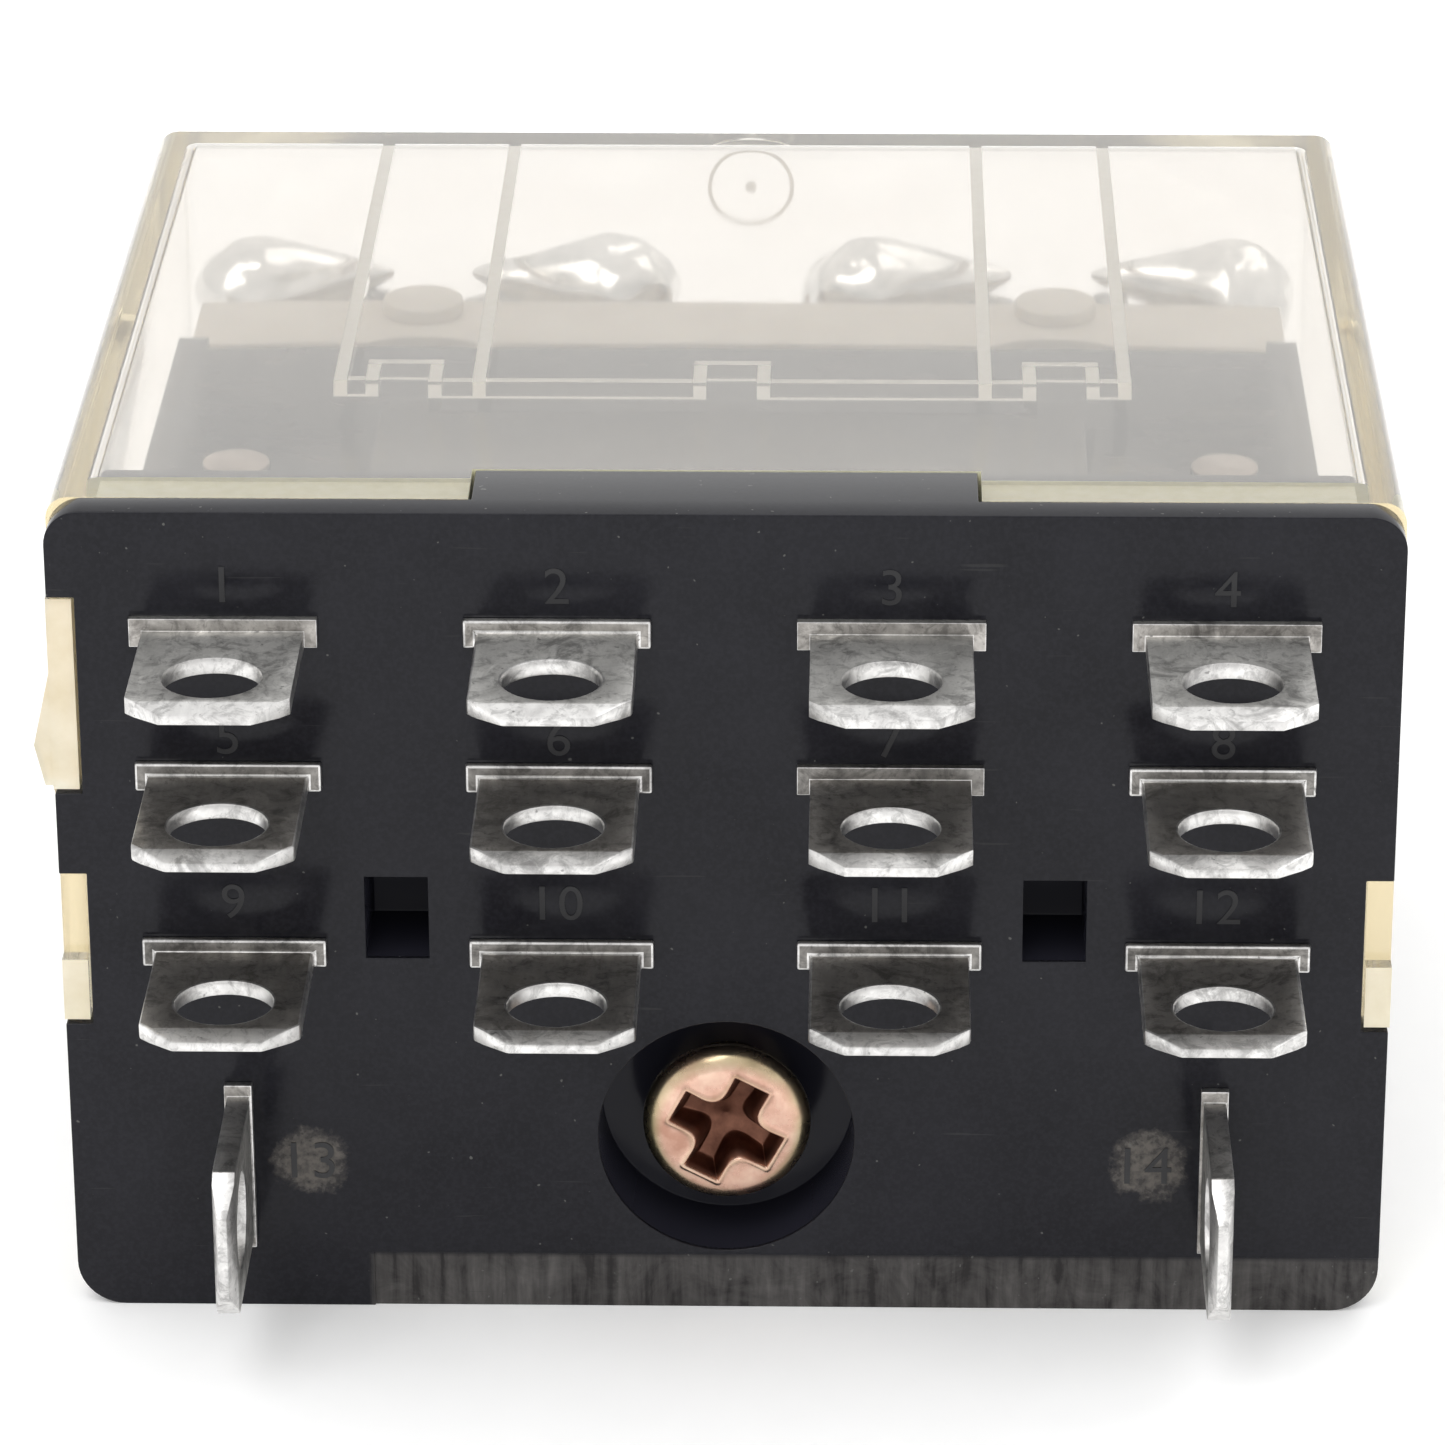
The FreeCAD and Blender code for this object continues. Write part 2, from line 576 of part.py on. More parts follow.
wound_front, wound_back = d.bobbin_front + d.bobbin_cheek, d.bobbin_back - d.bobbin_cheek
node(cut(
    rod("Y", 0, wound_front, d.screw_height, d.wound_radius, wound_back - wound_front),
    [rod("Y", 0, wound_front - 0.5, d.screw_height, d.tube_outer, wound_back - wound_front + 1.0)]), "winding")
node(cut(
    rod("Y", 0, wound_front + 0.05, d.screw_height, d.tape_radius, wound_back - wound_front - 0.1),
    [rod("Y", 0, wound_front - 0.5, d.screw_height, d.wound_radius, wound_back - wound_front + 1.0)]), "coil_tape")
node(rod("X", -d.pin_half, d.hinge_back, d.hinge_high, d.pin_radius, 2 * d.pin_half), "hinge_pin")


def tube(points, radius, bend):
    """Round wire along straight runs joined by tangent arcs."""
    pts = [V(*p) for p in points]
    edges, start = [], pts[0]
    for i in range(1, len(pts) - 1):
        a, p, b = pts[i - 1], pts[i], pts[i + 1]
        u, v = (a - p), (b - p)
        lu, lv = u.Length, v.Length
        u.normalize(), v.normalize()
        turn = math.pi - u.getAngle(v)
        r = min(bend, 0.45 * min(lu, lv) / math.tan(turn / 2))
        t = r * math.tan(turn / 2)
        s, e = p + u * t, p + v * t
        m = u + v
        m.normalize()
        middle = p + m * (r / math.cos(turn / 2) - r)
        edges.append(Part.LineSegment(start, s).toShape())
        edges.append(Part.Arc(s, middle, e).toShape())
        start = e
    edges.append(Part.LineSegment(start, pts[-1]).toShape())
    path = Part.Wire(edges)
    first = (pts[1] - pts[0])
    first.normalize()
    ring = Part.Wire([Part.Circle(pts[0], first, radius).toShape()])
    solid = path.makePipeShell([ring], True, True)
    want = math.pi * radius ** 2 * path.Length
    assert abs(solid.Volume - want) < 0.02 * want, (solid.Volume, want)
    return solid


def wire_feature(label, shape, y=0.0, z=0.0, turn=FreeCAD.Rotation()):
    f = doc.addObject("Part::Feature", label)
    f.Shape = shape
    f.Placement = FreeCAD.Placement(V(0, d.face_pos.value + y, z), turn)
    return node(f, label)


# enamelled leads from the winding to the coil blades, over the frame's arms
for s, label in ((-1, "coil_lead_left"), (1, "coil_lead_right")):
    inner = d.coil_row.value - d.coil_thick.value / 2 - d.lead_radius.value
    wire_feature(label, tube(
        [(s * inner, 8.4, 5.2), (s * inner, 8.3, 7.4), (s * 12.6, 8.1, 9.5), (s * 8.2, 7.9, 10.0), (s * 3.7, 7.8, 9.16)],
        d.lead_radius.value, 1.6))

# ------------------------------------------------------------------ armature
angle = math.radians(d.swing.value)
cs, sn = math.cos(angle), math.sin(angle)


def tilted(x0, x1, y0, y1, z0, z1):
    """Box given from the hinge axis with the armature drawn in, standing open by the swing."""
    b = doc.addObject("Part::Box", name_of("Leaf"))
    b.Placement = FreeCAD.Placement(V(), FreeCAD.Rotation(V(1, 0, 0), -d.swing.value))
    x0, x1, y0, y1, z0, z1 = map(as_size, (x0, x1, y0, y1, z0, z1))
    for prop, lo, hi in (("Length", x0, x1), ("Width", y0, y1), ("Height", z0, z1)):
        bind(b, prop, hi - lo)
    bind(b, "Placement.Base.x", x0)
    bind(b, "Placement.Base.y", at(d.hinge_back) + y0 * cs + z0 * sn)
    bind(b, "Placement.Base.z", d.hinge_high - y0 * sn + z0 * cs)
    return b


front, back = d.plate_front, d.plate_front + d.plate_thick
arm_parts = [
    tilted(-d.plate_half, d.plate_half, front, back, -1.0, 9.0),
    tilted(-d.neck_half, d.neck_half, front, back, 8.8, d.tab_high - d.hinge_high + 0.05),
    box(-d.tab_half, d.tab_half, 22.0, 27.0, d.tab_low, d.tab_high),
    box(-d.neck_half, d.neck_half, 26.5, 32.6, d.tab_low, d.tab_high),
    box(-2.5, 2.5, 24.0, 25.3, 14.5, d.tab_low + 0.2),
]
for lo, hi in mirror((6.3, 7.7)):
    arm_parts.append(rod("X", lo, d.hinge_back, d.hinge_high, 1.1, 1.4))
    arm_parts.append(tilted(lo, hi, 0, front + 0.3, -1.0, 1.1))
node(cut(fuse(arm_parts), [rod("X", -9.0, d.hinge_back, d.hinge_high, d.ear_bore, 18.0)]), "armature")

# ------------------------------------------------------------------ moving contact springs and card
s_low = d.card_shelf_high
s_top = s_low + d.spring_thick
card = fuse([
    box(-d.card_half, d.card_half, d.card_front, d.card_back, d.card_low, d.card_high),
    box(-d.card_half, d.card_half, d.card_back - 0.1, d.card_shelf_back, d.card_low, d.card_shelf_high),
])
tools = []
for x in poles:
    tools.append(box(x - d.spring_half - 0.05, x + d.spring_half + 0.05, d.card_front - 0.1, d.card_back + 0.1,
                     s_low, s_top + 0.05))
for s in (-1, 1):
    # scallop in the card's front edge, and the pigtails' way down through its shelf
    tools.append(rod("Z", s * 10.3, d.card_front - 2.75, d.card_low - 0.1, 3.3, d.card_high - d.card_low + 0.2))
    lo, hi = (9.2, 12.2) if s > 0 else (-12.2, -9.2)
    tools.append(box(lo, hi, 28.0, d.card_shelf_back + 0.1, d.card_low - 0.1, d.card_shelf_high + 0.1))
    tools.append(rod("Z", s * d.peg_pos, d.peg_back, d.card_low - 0.1, 0.72, d.card_high))
trimmed_card = rounded(cut(card, tools), lambda e: 0.0 if not (
    abs(e.CenterOfMass.z - d.card_high.value) < 1e-3 and abs(e.tangentAt(e.FirstParameter).x) > 0.9
    and abs(e.CenterOfMass.y - at(d.card_back).value) < 1e-3) else 0.35)
node(trimmed_card, "card")

node(group([
    fuse([rod("Z", s * d.peg_pos, d.peg_back, d.card_high, d.peg_radius, d.peg_high - d.card_high),
          rod("Z", s * d.peg_pos, d.peg_back, d.card_low, 0.7, d.card_high - d.card_low + 0.1)])
    for s in (-1, 1)]), "card_pegs")


def moving_spring(label, x):
    """Leaf spring with a narrowed waist and a rivet hole."""
    b = new_body(label)
    w2 = d.spring_half
    plan = outline(b, "XY_Plane", [
        (-w2, d.spring_front + 0.6), (-w2 + 0.6, d.spring_front), (w2 - 0.6, d.spring_front),
        (w2, d.spring_front + 0.6), (w2, 15.4), (w2 - 0.5, 16.2), (w2 - 0.5, 19.4), (w2, 20.2),
        (w2, d.spring_back), (-w2, d.spring_back), (-w2, 20.2), (-w2 + 0.5, 19.4),
        (-w2 + 0.5, 16.2), (-w2, 15.4)])
    pad(b, plan, d.spring_thick)
    doc.recompute()
    pocket(b, rings(b, "XY_Plane", [(0, d.closed_contact_pos, d.rivet_clear)]))
    place(b, x, d.face_pos, s_low + d.spring_thick / 2)
    return node(b, label)


for i, x in enumerate(poles, start=1):
    moving_spring("contact_spring_%d" % i, x)
for i, x in enumerate(poles, start=1):
    y = d.closed_contact_pos
    node(fuse([
        rod("Z", x, y, s_top, d.head_radius, 0.8),
        rod("Z", x, y, s_low - 0.1, d.rivet_radius, d.spring_thick + 0.2),
        rod("Z", x, y, s_low - 0.6, d.head_radius, 0.6),
    ]), "moving_contact_%d" % i)

# ------------------------------------------------------------------ solder on the springs' tails
lumps = []
for s in (-1, 1):
    for cx in (s * 15.7, s * 4.5):
        body_pt = doc.addObject("Part::Ellipsoid", name_of("Lump"))
        body_pt.Radius1, body_pt.Radius2, body_pt.Radius3 = 3.0, 2.1, 2.3
        body_pt.Angle1, body_pt.Angle2 = 0.0, 90.0
        place(body_pt, cx, at(28.4), s_top)
        lumps.append(body_pt)
node(group(lumps), "solder_tags")

# ------------------------------------------------------------------ return spring (helix along Y)
turns = 6
gap_front, gap_back = d.slab_back.value, 24.0
wire_r, mean_r = d.coil_spring_wire.value, d.coil_spring_radius.value
active = gap_back - gap_front - 2 * wire_r - 0.02
helix = Part.makeHelix(active / turns, active, mean_r)
ring = Part.Wire([Part.Circle(V(mean_r, 0, 0), V(0, 1, 0), wire_r).toShape()])
coil = Part.Wire(helix.Edges).makePipeShell([ring], True, True)
wire_feature("return_spring", coil, gap_front + wire_r + 0.01, d.coil_spring_high.value,
             FreeCAD.Rotation(V(1, 0, 0), -90))

# ------------------------------------------------------------------ flexible pigtails to the common blades
pr = d.pigtail_radius.value
top_z = d.common_row.value + d.blade_thick.value + pr
for i, (x, dive) in enumerate(((-15.15, -11.5), (-5.05, -10.0), (5.05, 10.0), (15.15, 11.5)), start=1):
    s = 1 if dive > 0 else -1
    side = 1 if abs(x) > 12 else -1
    edge = abs(x) - side * 2.75
    wire_feature("pigtail_%d" % i, tube(
        [(s * edge, 29.0, 22.1), (dive, 29.3, 21.6), (dive, 29.35, 17.2), (dive, 27.4, 13.6),
         (dive + s * side * 0.5, 18.0, 13.35), (x, 10.6, 12.95), (x, 7.0, top_z)],
        pr, 3.0))

# ------------------------------------------------------------------ check and write
doc.recompute()
for obj in doc.Objects:
    bad = [word for word in obj.State if "Invalid" in word or "Error" in word]
    if bad:
        raise SystemExit("%s (%s): %s" % (obj.Name, obj.Label, obj.State))
os.makedirs("parts", exist_ok=True)
for obj in nodes:
    shape = obj.Shape
    if shape.isNull() or not shape.isValid() or not shape.Solids or shape.Volume <= 0:
        raise SystemExit("bad shape in " + obj.Label)
for obj in nodes:
    obj.Shape.exportStep("parts/%s.step" % obj.Label)
    print("%-24s %2d solids %9.2f mm3" % (obj.Label, len(obj.Shape.Solids), obj.Shape.Volume))
print(len(nodes), "nodes")
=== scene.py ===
import bpy
import bmesh
import json
import math
from mathutils import Matrix, Vector, noise


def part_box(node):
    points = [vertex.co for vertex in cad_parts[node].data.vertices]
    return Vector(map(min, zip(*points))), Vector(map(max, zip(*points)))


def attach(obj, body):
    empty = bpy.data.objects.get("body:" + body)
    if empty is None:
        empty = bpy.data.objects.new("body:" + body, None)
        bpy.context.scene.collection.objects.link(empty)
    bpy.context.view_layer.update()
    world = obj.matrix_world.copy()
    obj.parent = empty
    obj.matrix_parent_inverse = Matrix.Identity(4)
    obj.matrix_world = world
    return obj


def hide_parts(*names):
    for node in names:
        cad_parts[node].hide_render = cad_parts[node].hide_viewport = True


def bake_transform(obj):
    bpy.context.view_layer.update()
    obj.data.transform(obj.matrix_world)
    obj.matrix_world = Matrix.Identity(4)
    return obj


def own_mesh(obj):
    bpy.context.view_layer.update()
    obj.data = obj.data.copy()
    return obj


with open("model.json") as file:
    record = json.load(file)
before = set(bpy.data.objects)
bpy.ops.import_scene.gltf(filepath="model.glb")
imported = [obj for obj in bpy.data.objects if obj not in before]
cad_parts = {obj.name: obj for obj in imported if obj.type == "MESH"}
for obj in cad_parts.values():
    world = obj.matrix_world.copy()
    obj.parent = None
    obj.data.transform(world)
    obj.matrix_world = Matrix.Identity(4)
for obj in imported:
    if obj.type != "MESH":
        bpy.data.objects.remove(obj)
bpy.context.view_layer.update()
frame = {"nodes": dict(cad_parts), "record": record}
nodes = frame["nodes"]
scene = bpy.context.scene
MM = 0.001
FACE = -14.8            # row Y of the base's front face, in mm


def mm(x, depth, z):
    """A point given as X, depth behind the base's front face, and height, in mm."""
    return Vector((x * MM, (FACE + depth) * MM, z * MM))


# ---------------------------------------------------------------- camera
cam_data = bpy.data.cameras.new("camera")
cam_data.lens = 163.66
cam_data.sensor_width = 36.0
cam_data.clip_start = 0.01
cam_data.clip_end = 20.0
cam = bpy.data.objects.new("camera", cam_data)
scene.collection.objects.link(cam)
elev, azim, roll = math.radians(23.75), math.radians(1.31), math.radians(-0.22)
fwd = Vector((-math.sin(azim) * math.cos(elev), math.cos(azim) * math.cos(elev), -math.sin(elev)))
right = Vector((math.cos(azim), math.sin(azim), 0.0))
up = right.cross(fwd)
right2 = math.cos(roll) * right + math.sin(roll) * up
up2 = -math.sin(roll) * right + math.cos(roll) * up
cam.matrix_world = Matrix((
    (right2.x, up2.x, -fwd.x, 0.00411),
    (right2.y, up2.y, -fwd.y, -0.19736),
    (right2.z, up2.z, -fwd.z, 0.10056),
    (0, 0, 0, 1)))
scene.camera = cam

# ---------------------------------------------------------------- light and floor
scene.view_settings.view_transform = "Standard"
scene.view_settings.look = "None"
world = bpy.data.worlds.new("studio")
scene.world = world
world.use_nodes = True
world.node_tree.nodes["Background"].inputs["Color"].default_value = (1, 1, 1, 1)
world.node_tree.nodes["Background"].inputs["Strength"].default_value = 1.0
# light passes many walls of the clear cover before it leaves it
scene.cycles.max_bounces = 28
scene.cycles.transmission_bounces = 24
scene.cycles.glossy_bounces = 16
scene.cycles.diffuse_bounces = 6
scene.cycles.transparent_max_bounces = 24
scene.cycles.caustics_reflective = True
scene.cycles.caustics_refractive = True


def area(name, where, towards, size, watts):
    light = bpy.data.lights.new(name, "AREA")
    light.shape = "SQUARE"
    light.size = size
    light.energy = watts
    ob = bpy.data.objects.new(name, light)
    scene.collection.objects.link(ob)
    ob.location = where
    ob.rotation_euler = (Vector(towards) - Vector(where)).to_track_quat("-Z", "Y").to_euler()
    return ob


area("key", (-0.25, -0.35, 0.75), (0, 0, 0.01), 0.5, 2.2)
area("fill", (0.35, 0.25, 0.60), (0, 0, 0.01), 0.5, 1.0)


# ---------------------------------------------------------------- material helpers
class Mat:
    def __init__(self, name):
        self.m = bpy.data.materials.new(name)
        self.m.use_nodes = True
        self.nt = self.m.node_tree
        self.bsdf = self.nt.nodes["Principled BSDF"]
        self.coord = None

    def node(self, kind, **values):
        n = self.nt.nodes.new(kind)
        for key, value in values.items():
            if key in n.inputs:
                self.put(n.inputs[key], value)
            else:
                setattr(n, key, value)
        return n

    def put(self, socket, value):
        if isinstance(value, bpy.types.NodeSocket):
            self.nt.links.new(value, socket)
        else:
            socket.default_value = value

    def set(self, **values):
        for key, value in values.items():
            self.put(self.bsdf.inputs[key.replace("_", " ")], value)
        return self

    def position(self):
        if self.coord is None:
            self.coord = self.node("ShaderNodeTexCoord").outputs["Object"]
        return self.coord

    def xyz(self):
        n = self.node("ShaderNodeSeparateXYZ", Vector=self.position())
        return n.outputs["X"], n.outputs["Y"], n.outputs["Z"]

    def noise(self, scale, detail=4.0, rough=0.5, vector=None, distortion=0.0):
        n = self.node("ShaderNodeTexNoise")
        self.put(n.inputs["Vector"], vector or self.position())
        n.inputs["Scale"].default_value = scale
        n.inputs["Detail"].default_value = detail
        n.inputs["Roughness"].default_value = rough
        n.inputs["Distortion"].default_value = distortion
        return n.outputs["Fac"]

    def stretched(self, scale_xyz):
        n = self.node("ShaderNodeMapping", Vector=self.position())
        n.inputs["Scale"].default_value = scale_xyz
        return n.outputs["Vector"]

    def ramp(self, fac, *stops):
        n = self.node("ShaderNodeValToRGB", Fac=fac)
        e = n.color_ramp.elements
        while len(e) < len(stops):
            e.new(0.5)
        for el, (pos, col) in zip(e, stops):
            el.position = pos
            el.color = (*col, 1.0) if len(col) == 3 else col
        return n.outputs["Color"]

    def remap(self, fac, a, b, lo, hi):
        n = self.node("ShaderNodeMapRange", Value=fac)
        n.inputs["From Min"].default_value = a
        n.inputs["From Max"].default_value = b
        n.inputs["To Min"].default_value = lo
        n.inputs["To Max"].default_value = hi
        return n.outputs["Result"]

    def math(self, op, a, b=0.0):
        n = self.node("ShaderNodeMath", operation=op)
        self.put(n.inputs[0], a)
        self.put(n.inputs[1], b)
        return n.outputs[0]

    def mix(self, fac, a, b):
        n = self.node("ShaderNodeMix", data_type="RGBA")
        self.put(n.inputs["Factor"], fac)
        self.put([s for s in n.inputs if s.name == "A" and s.type == "RGBA"][0], (*a, 1.0) if isinstance(a, tuple) else a)
        self.put([s for s in n.inputs if s.name == "B" and s.type == "RGBA"][0], (*b, 1.0) if isinstance(b, tuple) else b)
        return [s for s in n.outputs if s.type == "RGBA"][0]

    def bump(self, height, strength, distance):
        n = self.node("ShaderNodeBump", Height=height)
        n.inputs["Strength"].default_value = strength
        n.inputs["Distance"].default_value = distance
        self.put(self.bsdf.inputs["Normal"], n.outputs["Normal"])
        return self


def soft_box(a, u, v, cu, cv, hu, hv, feather):
    """1 inside a rectangle of the face, falling off softly at its edges."""
    du = a.math("SUBTRACT", a.math("ABSOLUTE", a.math("SUBTRACT", u, cu * MM)), hu * MM)
    dv = a.math("SUBTRACT", a.math("ABSOLUTE", a.math("SUBTRACT", v, cv * MM)), hv * MM)
    return a.remap(a.math("MAXIMUM", du, dv), -feather * MM, feather * MM, 1.0, 0.0)


def black_moulding(name="black_moulding", figures=False):
    a = Mat(name)
    x, y, z = a.xyz()
    broad = a.noise(260, 4, 0.6)
    fine = a.noise(5200, 3, 0.5)
    if figures:
        a.set(Base_Color=a.ramp(broad, (0.3, (0.012, 0.012, 0.014)), (0.7, (0.021, 0.021, 0.023))), Roughness=0.42, IOR=1.47)
        a.bump(fine, 0.15, 0.00002)
        return a.m
    col = a.ramp(broad, (0.3, (0.0062, 0.0062, 0.0088)), (0.7, (0.0112, 0.0113, 0.0152)))
    col = a.mix(a.remap(a.noise(7800, 2, 0.5), 0.4, 0.65, 0.0, 0.30), col, (0.022, 0.022, 0.028))
    on_face = a.math("LESS_THAN", y, (FACE + 0.05) * MM)
    # worn step along the bottom edge of the front, with streaks that run up it
    streaks = a.noise(1.0, 4, 0.6, a.stretched((2600, 400, 260)), 0.4)
    wear = a.noise(520, 6, 0.72, distortion=0.8)
    step = a.math("MULTIPLY", soft_box(a, x, z, 4.75, 0.7, 15.95, 1.12, 0.10),
                  a.math("LESS_THAN", y, (FACE + 0.5) * MM))
    worn = a.ramp(a.math("ADD", a.math("MULTIPLY", streaks, 0.5), a.math("MULTIPLY", wear, 0.5)),
                  (0.40, (0.022, 0.020, 0.020)), (0.46, (0.046, 0.043, 0.042)), (0.54, (0.068, 0.064, 0.062)), (0.66, (0.108, 0.102, 0.098)))
    col = a.mix(a.math("MULTIPLY", step, 0.95), col, worn)
    # rubbed patches behind the two coil numbers
    rub = a.noise(1100, 6, 0.75)
    scuff = None
    for cx in (-12.95, 13.18):
        du = a.math("SUBTRACT", x, cx * MM)
        dv = a.math("SUBTRACT", z, 5.15 * MM)
        far = a.math("SQRT", a.math("ADD", a.math("MULTIPLY", du, du), a.math("MULTIPLY", dv, dv)))
        far = a.math("ADD", far, a.math("MULTIPLY", a.math("SUBTRACT", rub, 0.5), 1.6 * MM))
        m = a.remap(far, 0.85 * MM, 1.25 * MM, 1.0, 0.0)
        scuff = m if scuff is None else a.math("MAXIMUM", scuff, m)
    scuff = a.math("MULTIPLY", a.math("MULTIPLY", scuff, on_face), a.remap(a.noise(4200, 3, 0.6), 0.35, 0.60, 0.35, 1.0))
    col = a.mix(a.math("MULTIPLY", scuff, 0.85), col, (0.135, 0.122, 0.108))
    # dust specks
    dust = a.ramp(a.noise(5200, 1, 0.3), (0.775, (0, 0, 0)), (0.80, (0.8, 0.8, 0.8)))
    col = a.mix(dust, col, (0.11, 0.11, 0.105))
    # hairline scratches
    hair = a.noise(1.0, 2, 0.3, a.stretched((320, 320, 9000)), 0.3)
    hair = a.ramp(hair, (0.75, (0, 0, 0)), (0.78, (0.4, 0.4, 0.4)))
    col = a.mix(hair, col, (0.04, 0.04, 0.04))
    # brownish smears on the decks under the cover
    deck = a.math("MULTIPLY", a.math("GREATER_THAN", z, 0.0236), a.math("GREATER_THAN", y, (FACE + 4.45) * MM))
    smear = a.noise(1.0, 5, 0.7, a.stretched((300, 900, 300)), 1.0)
    film = a.ramp(smear, (0.38, (0.022, 0.020, 0.017)), (0.52, (0.040, 0.034, 0.028)), (0.68, (0.085, 0.070, 0.056)))
    col = a.mix(a.math("MULTIPLY", deck, 0.85), col, film)
    # painted shade: surfaces set back behind the front face get one flat, dark, bluish tone
    recess_painted_shade = a.math("MULTIPLY", a.math("GREATER_THAN", y, (FACE + 0.15) * MM), a.math("LESS_THAN", y, (FACE + 4.3) * MM))
    recess_painted_shade = a.math("MULTIPLY", recess_painted_shade, a.math("LESS_THAN", a.math("ABSOLUTE", x), 18 * MM))
    recess_painted_shade = a.math("MULTIPLY", recess_painted_shade, a.math("LESS_THAN", z, 22 * MM))
    recess_painted_shade = a.math("MULTIPLY", recess_painted_shade, a.math("GREATER_THAN", z, 1.95 * MM))
    col = a.mix(recess_painted_shade, col, (0.020, 0.020, 0.029))
    a.set(Base_Color=col)
    a.bsdf.inputs["Specular IOR Level"].default_value = 0.22
    rough = a.math("ADD", a.remap(broad, 0.3, 0.7, 0.12, 0.19),
                   a.math("MULTIPLY", a.math("MAXIMUM", step, scuff), 0.28))
    a.put(a.bsdf.inputs["Roughness"], rough)
    a.set(IOR=1.47)
    a.bump(fine, 0.08, 0.00002)
    return a.m


def tinned(name="tinned_blade", dark=(0.33, 0.325, 0.312), light=(0.70, 0.69, 0.665), rough=(0.40, 0.60)):
    a = Mat(name)
    smear = a.noise(620, 5, 0.62, distortion=0.6)
    grain = a.noise(1.0, 4, 0.6, a.stretched((2600, 700, 2600)))
    both = a.math("ADD", a.math("MULTIPLY", smear, 0.62), a.math("MULTIPLY", grain, 0.38))
    col = a.ramp(both, (0.36, dark), (0.50, tuple((p + q) / 2 for p, q in zip(dark, light))), (0.62, light))
    # tarnish in blotches and fine pits
    blot = a.ramp(a.noise(520, 6, 0.72, distortion=1.6), (0.52, (0, 0, 0)), (0.64, (1, 1, 1)))
    col = a.mix(a.math("MULTIPLY", blot, 0.62), col, tuple(0.40 * c for c in dark))
    fine = a.ramp(a.noise(1700, 5, 0.75, distortion=1.0), (0.50, (0, 0, 0)), (0.62, (1, 1, 1)))
    col = a.mix(a.math("MULTIPLY", fine, 0.50), col, tuple(0.50 * c for c in dark))
    shine = a.ramp(a.noise(760, 5, 0.7, a.stretched((1, 0.6, 1)), 1.0), (0.58, (0, 0, 0)), (0.66, (1, 1, 1)))
    col = a.mix(a.math("MULTIPLY", shine, 0.45), col, light)
    pits = a.ramp(a.noise(4200, 2, 0.5), (0.70, (0, 0, 0)), (0.76, (1, 1, 1)))
    col = a.mix(a.math("MULTIPLY", pits, 0.6), col, (0.10, 0.098, 0.095))
    a.set(Base_Color=col, Metallic=1.0)
    a.put(a.bsdf.inputs["Roughness"], a.remap(both, 0.36, 0.62, rough[1], rough[0]))
    a.bump(a.noise(3800, 5, 0.6), 0.20, 0.00002)
    return a.m


def clear_cover(name="clear_cover", finish="clear"):
    a = Mat(name)
    grain = a.noise(2400, 4, 0.6)
    if finish == "clear":
        haze = a.noise(90, 3, 0.5)
        a.set(Base_Color=a.ramp(haze, (0.3, (0.938, 0.914, 0.888)), (0.7, (0.968, 0.950, 0.930))), IOR=1.585)
        a.put(a.bsdf.inputs["Roughness"], a.remap(a.noise(1100, 4, 0.6), 0.35, 0.7, 0.03, 0.07))
        a.bsdf.inputs["Transmission Weight"].default_value = 0.91
        a.bump(a.noise(120, 3, 0.5), 0.06, 0.00005)
    elif finish == "rib":
        a.set(Base_Color=a.ramp(grain, (0.3, (0.95, 0.925, 0.86)), (0.7, (0.995, 0.975, 0.925))), Roughness=0.35, IOR=1.585)
        a.bsdf.inputs["Transmission Weight"].default_value = 0.12
        # painted light: a faint glow on the frosted ribs, standing in for light guided along the clear wall that leaves
        # it at the ribs
        a.bsdf.inputs["Emission Color"].default_value = (1.0, 0.965, 0.90, 1.0)
        a.bsdf.inputs["Emission Strength"].default_value = 0.11
        a.bump(grain, 0.12, 0.00002)
    elif finish == "tab":
        a.set(Base_Color=a.ramp(a.noise(700, 4, 0.6), (0.3, (0.80, 0.74, 0.56)), (0.7, (0.93, 0.89, 0.74))), Roughness=0.3, IOR=1.585)
        a.bsdf.inputs["Transmission Weight"].default_value = 0.35
        a.bump(grain, 0.10, 0.00002)
    else:
        # painted light: the cut edges get an opaque cream that stands in for light guided along the clear wall and
        # leaving it there
        a.set(Base_Color=a.ramp(grain, (0.3, (0.88, 0.85, 0.60)), (0.7, (0.97, 0.945, 0.74))), Roughness=0.5, IOR=1.585)
        a.bump(grain, 0.15, 0.00002)
    vol = a.node("ShaderNodeVolumeAbsorption")
    vol.inputs["Color"].default_value = (0.985, 0.945, 0.82, 1.0)
    vol.inputs["Density"].default_value = 105.0
    a.nt.links.new(vol.outputs["Volume"], a.nt.nodes["Material Output"].inputs["Volume"])
    return a.m


def screw_metal():
    """Plated head: bare pink-gold on the crown, a tarnished film at the rim, oxide and painted shade darkening the
    driver recess.
    """
    a = Mat("coppery_screw")
    film = a.noise(900, 4, 0.6)
    tone = a.node("ShaderNodeAttribute", attribute_name="recess").outputs["Fac"]
    round_ = a.node("ShaderNodeAttribute", attribute_name="rim").outputs["Fac"]
    crown = a.ramp(film, (0.32, (0.54, 0.30, 0.22)), (0.5, (0.70, 0.44, 0.34)), (0.68, (0.80, 0.58, 0.45)))
    edge = a.ramp(a.noise(420, 2, 0.5), (0.35, (0.34, 0.33, 0.17)), (0.52, (0.62, 0.52, 0.32)), (0.68, (0.60, 0.33, 0.25)))
    col = a.mix(a.math("MULTIPLY", round_, 0.8), crown, edge)
    # driver recess: a darker oxide tone, deepened further as painted shade
    oxide_and_painted_shade = a.ramp(a.noise(1500, 4, 0.6), (0.3, (0.085, 0.036, 0.025)), (0.7, (0.20, 0.092, 0.062)))
    col = a.mix(tone, col, oxide_and_painted_shade)
    a.set(Base_Color=col, Metallic=1.0)
    a.put(a.bsdf.inputs["Roughness"], a.math("ADD", a.remap(film, 0.3, 0.7, 0.34, 0.20), a.math("MULTIPLY", tone, 0.12)))
    a.bump(a.noise(2600, 4, 0.6), 0.12, 0.00002)
    return a.m


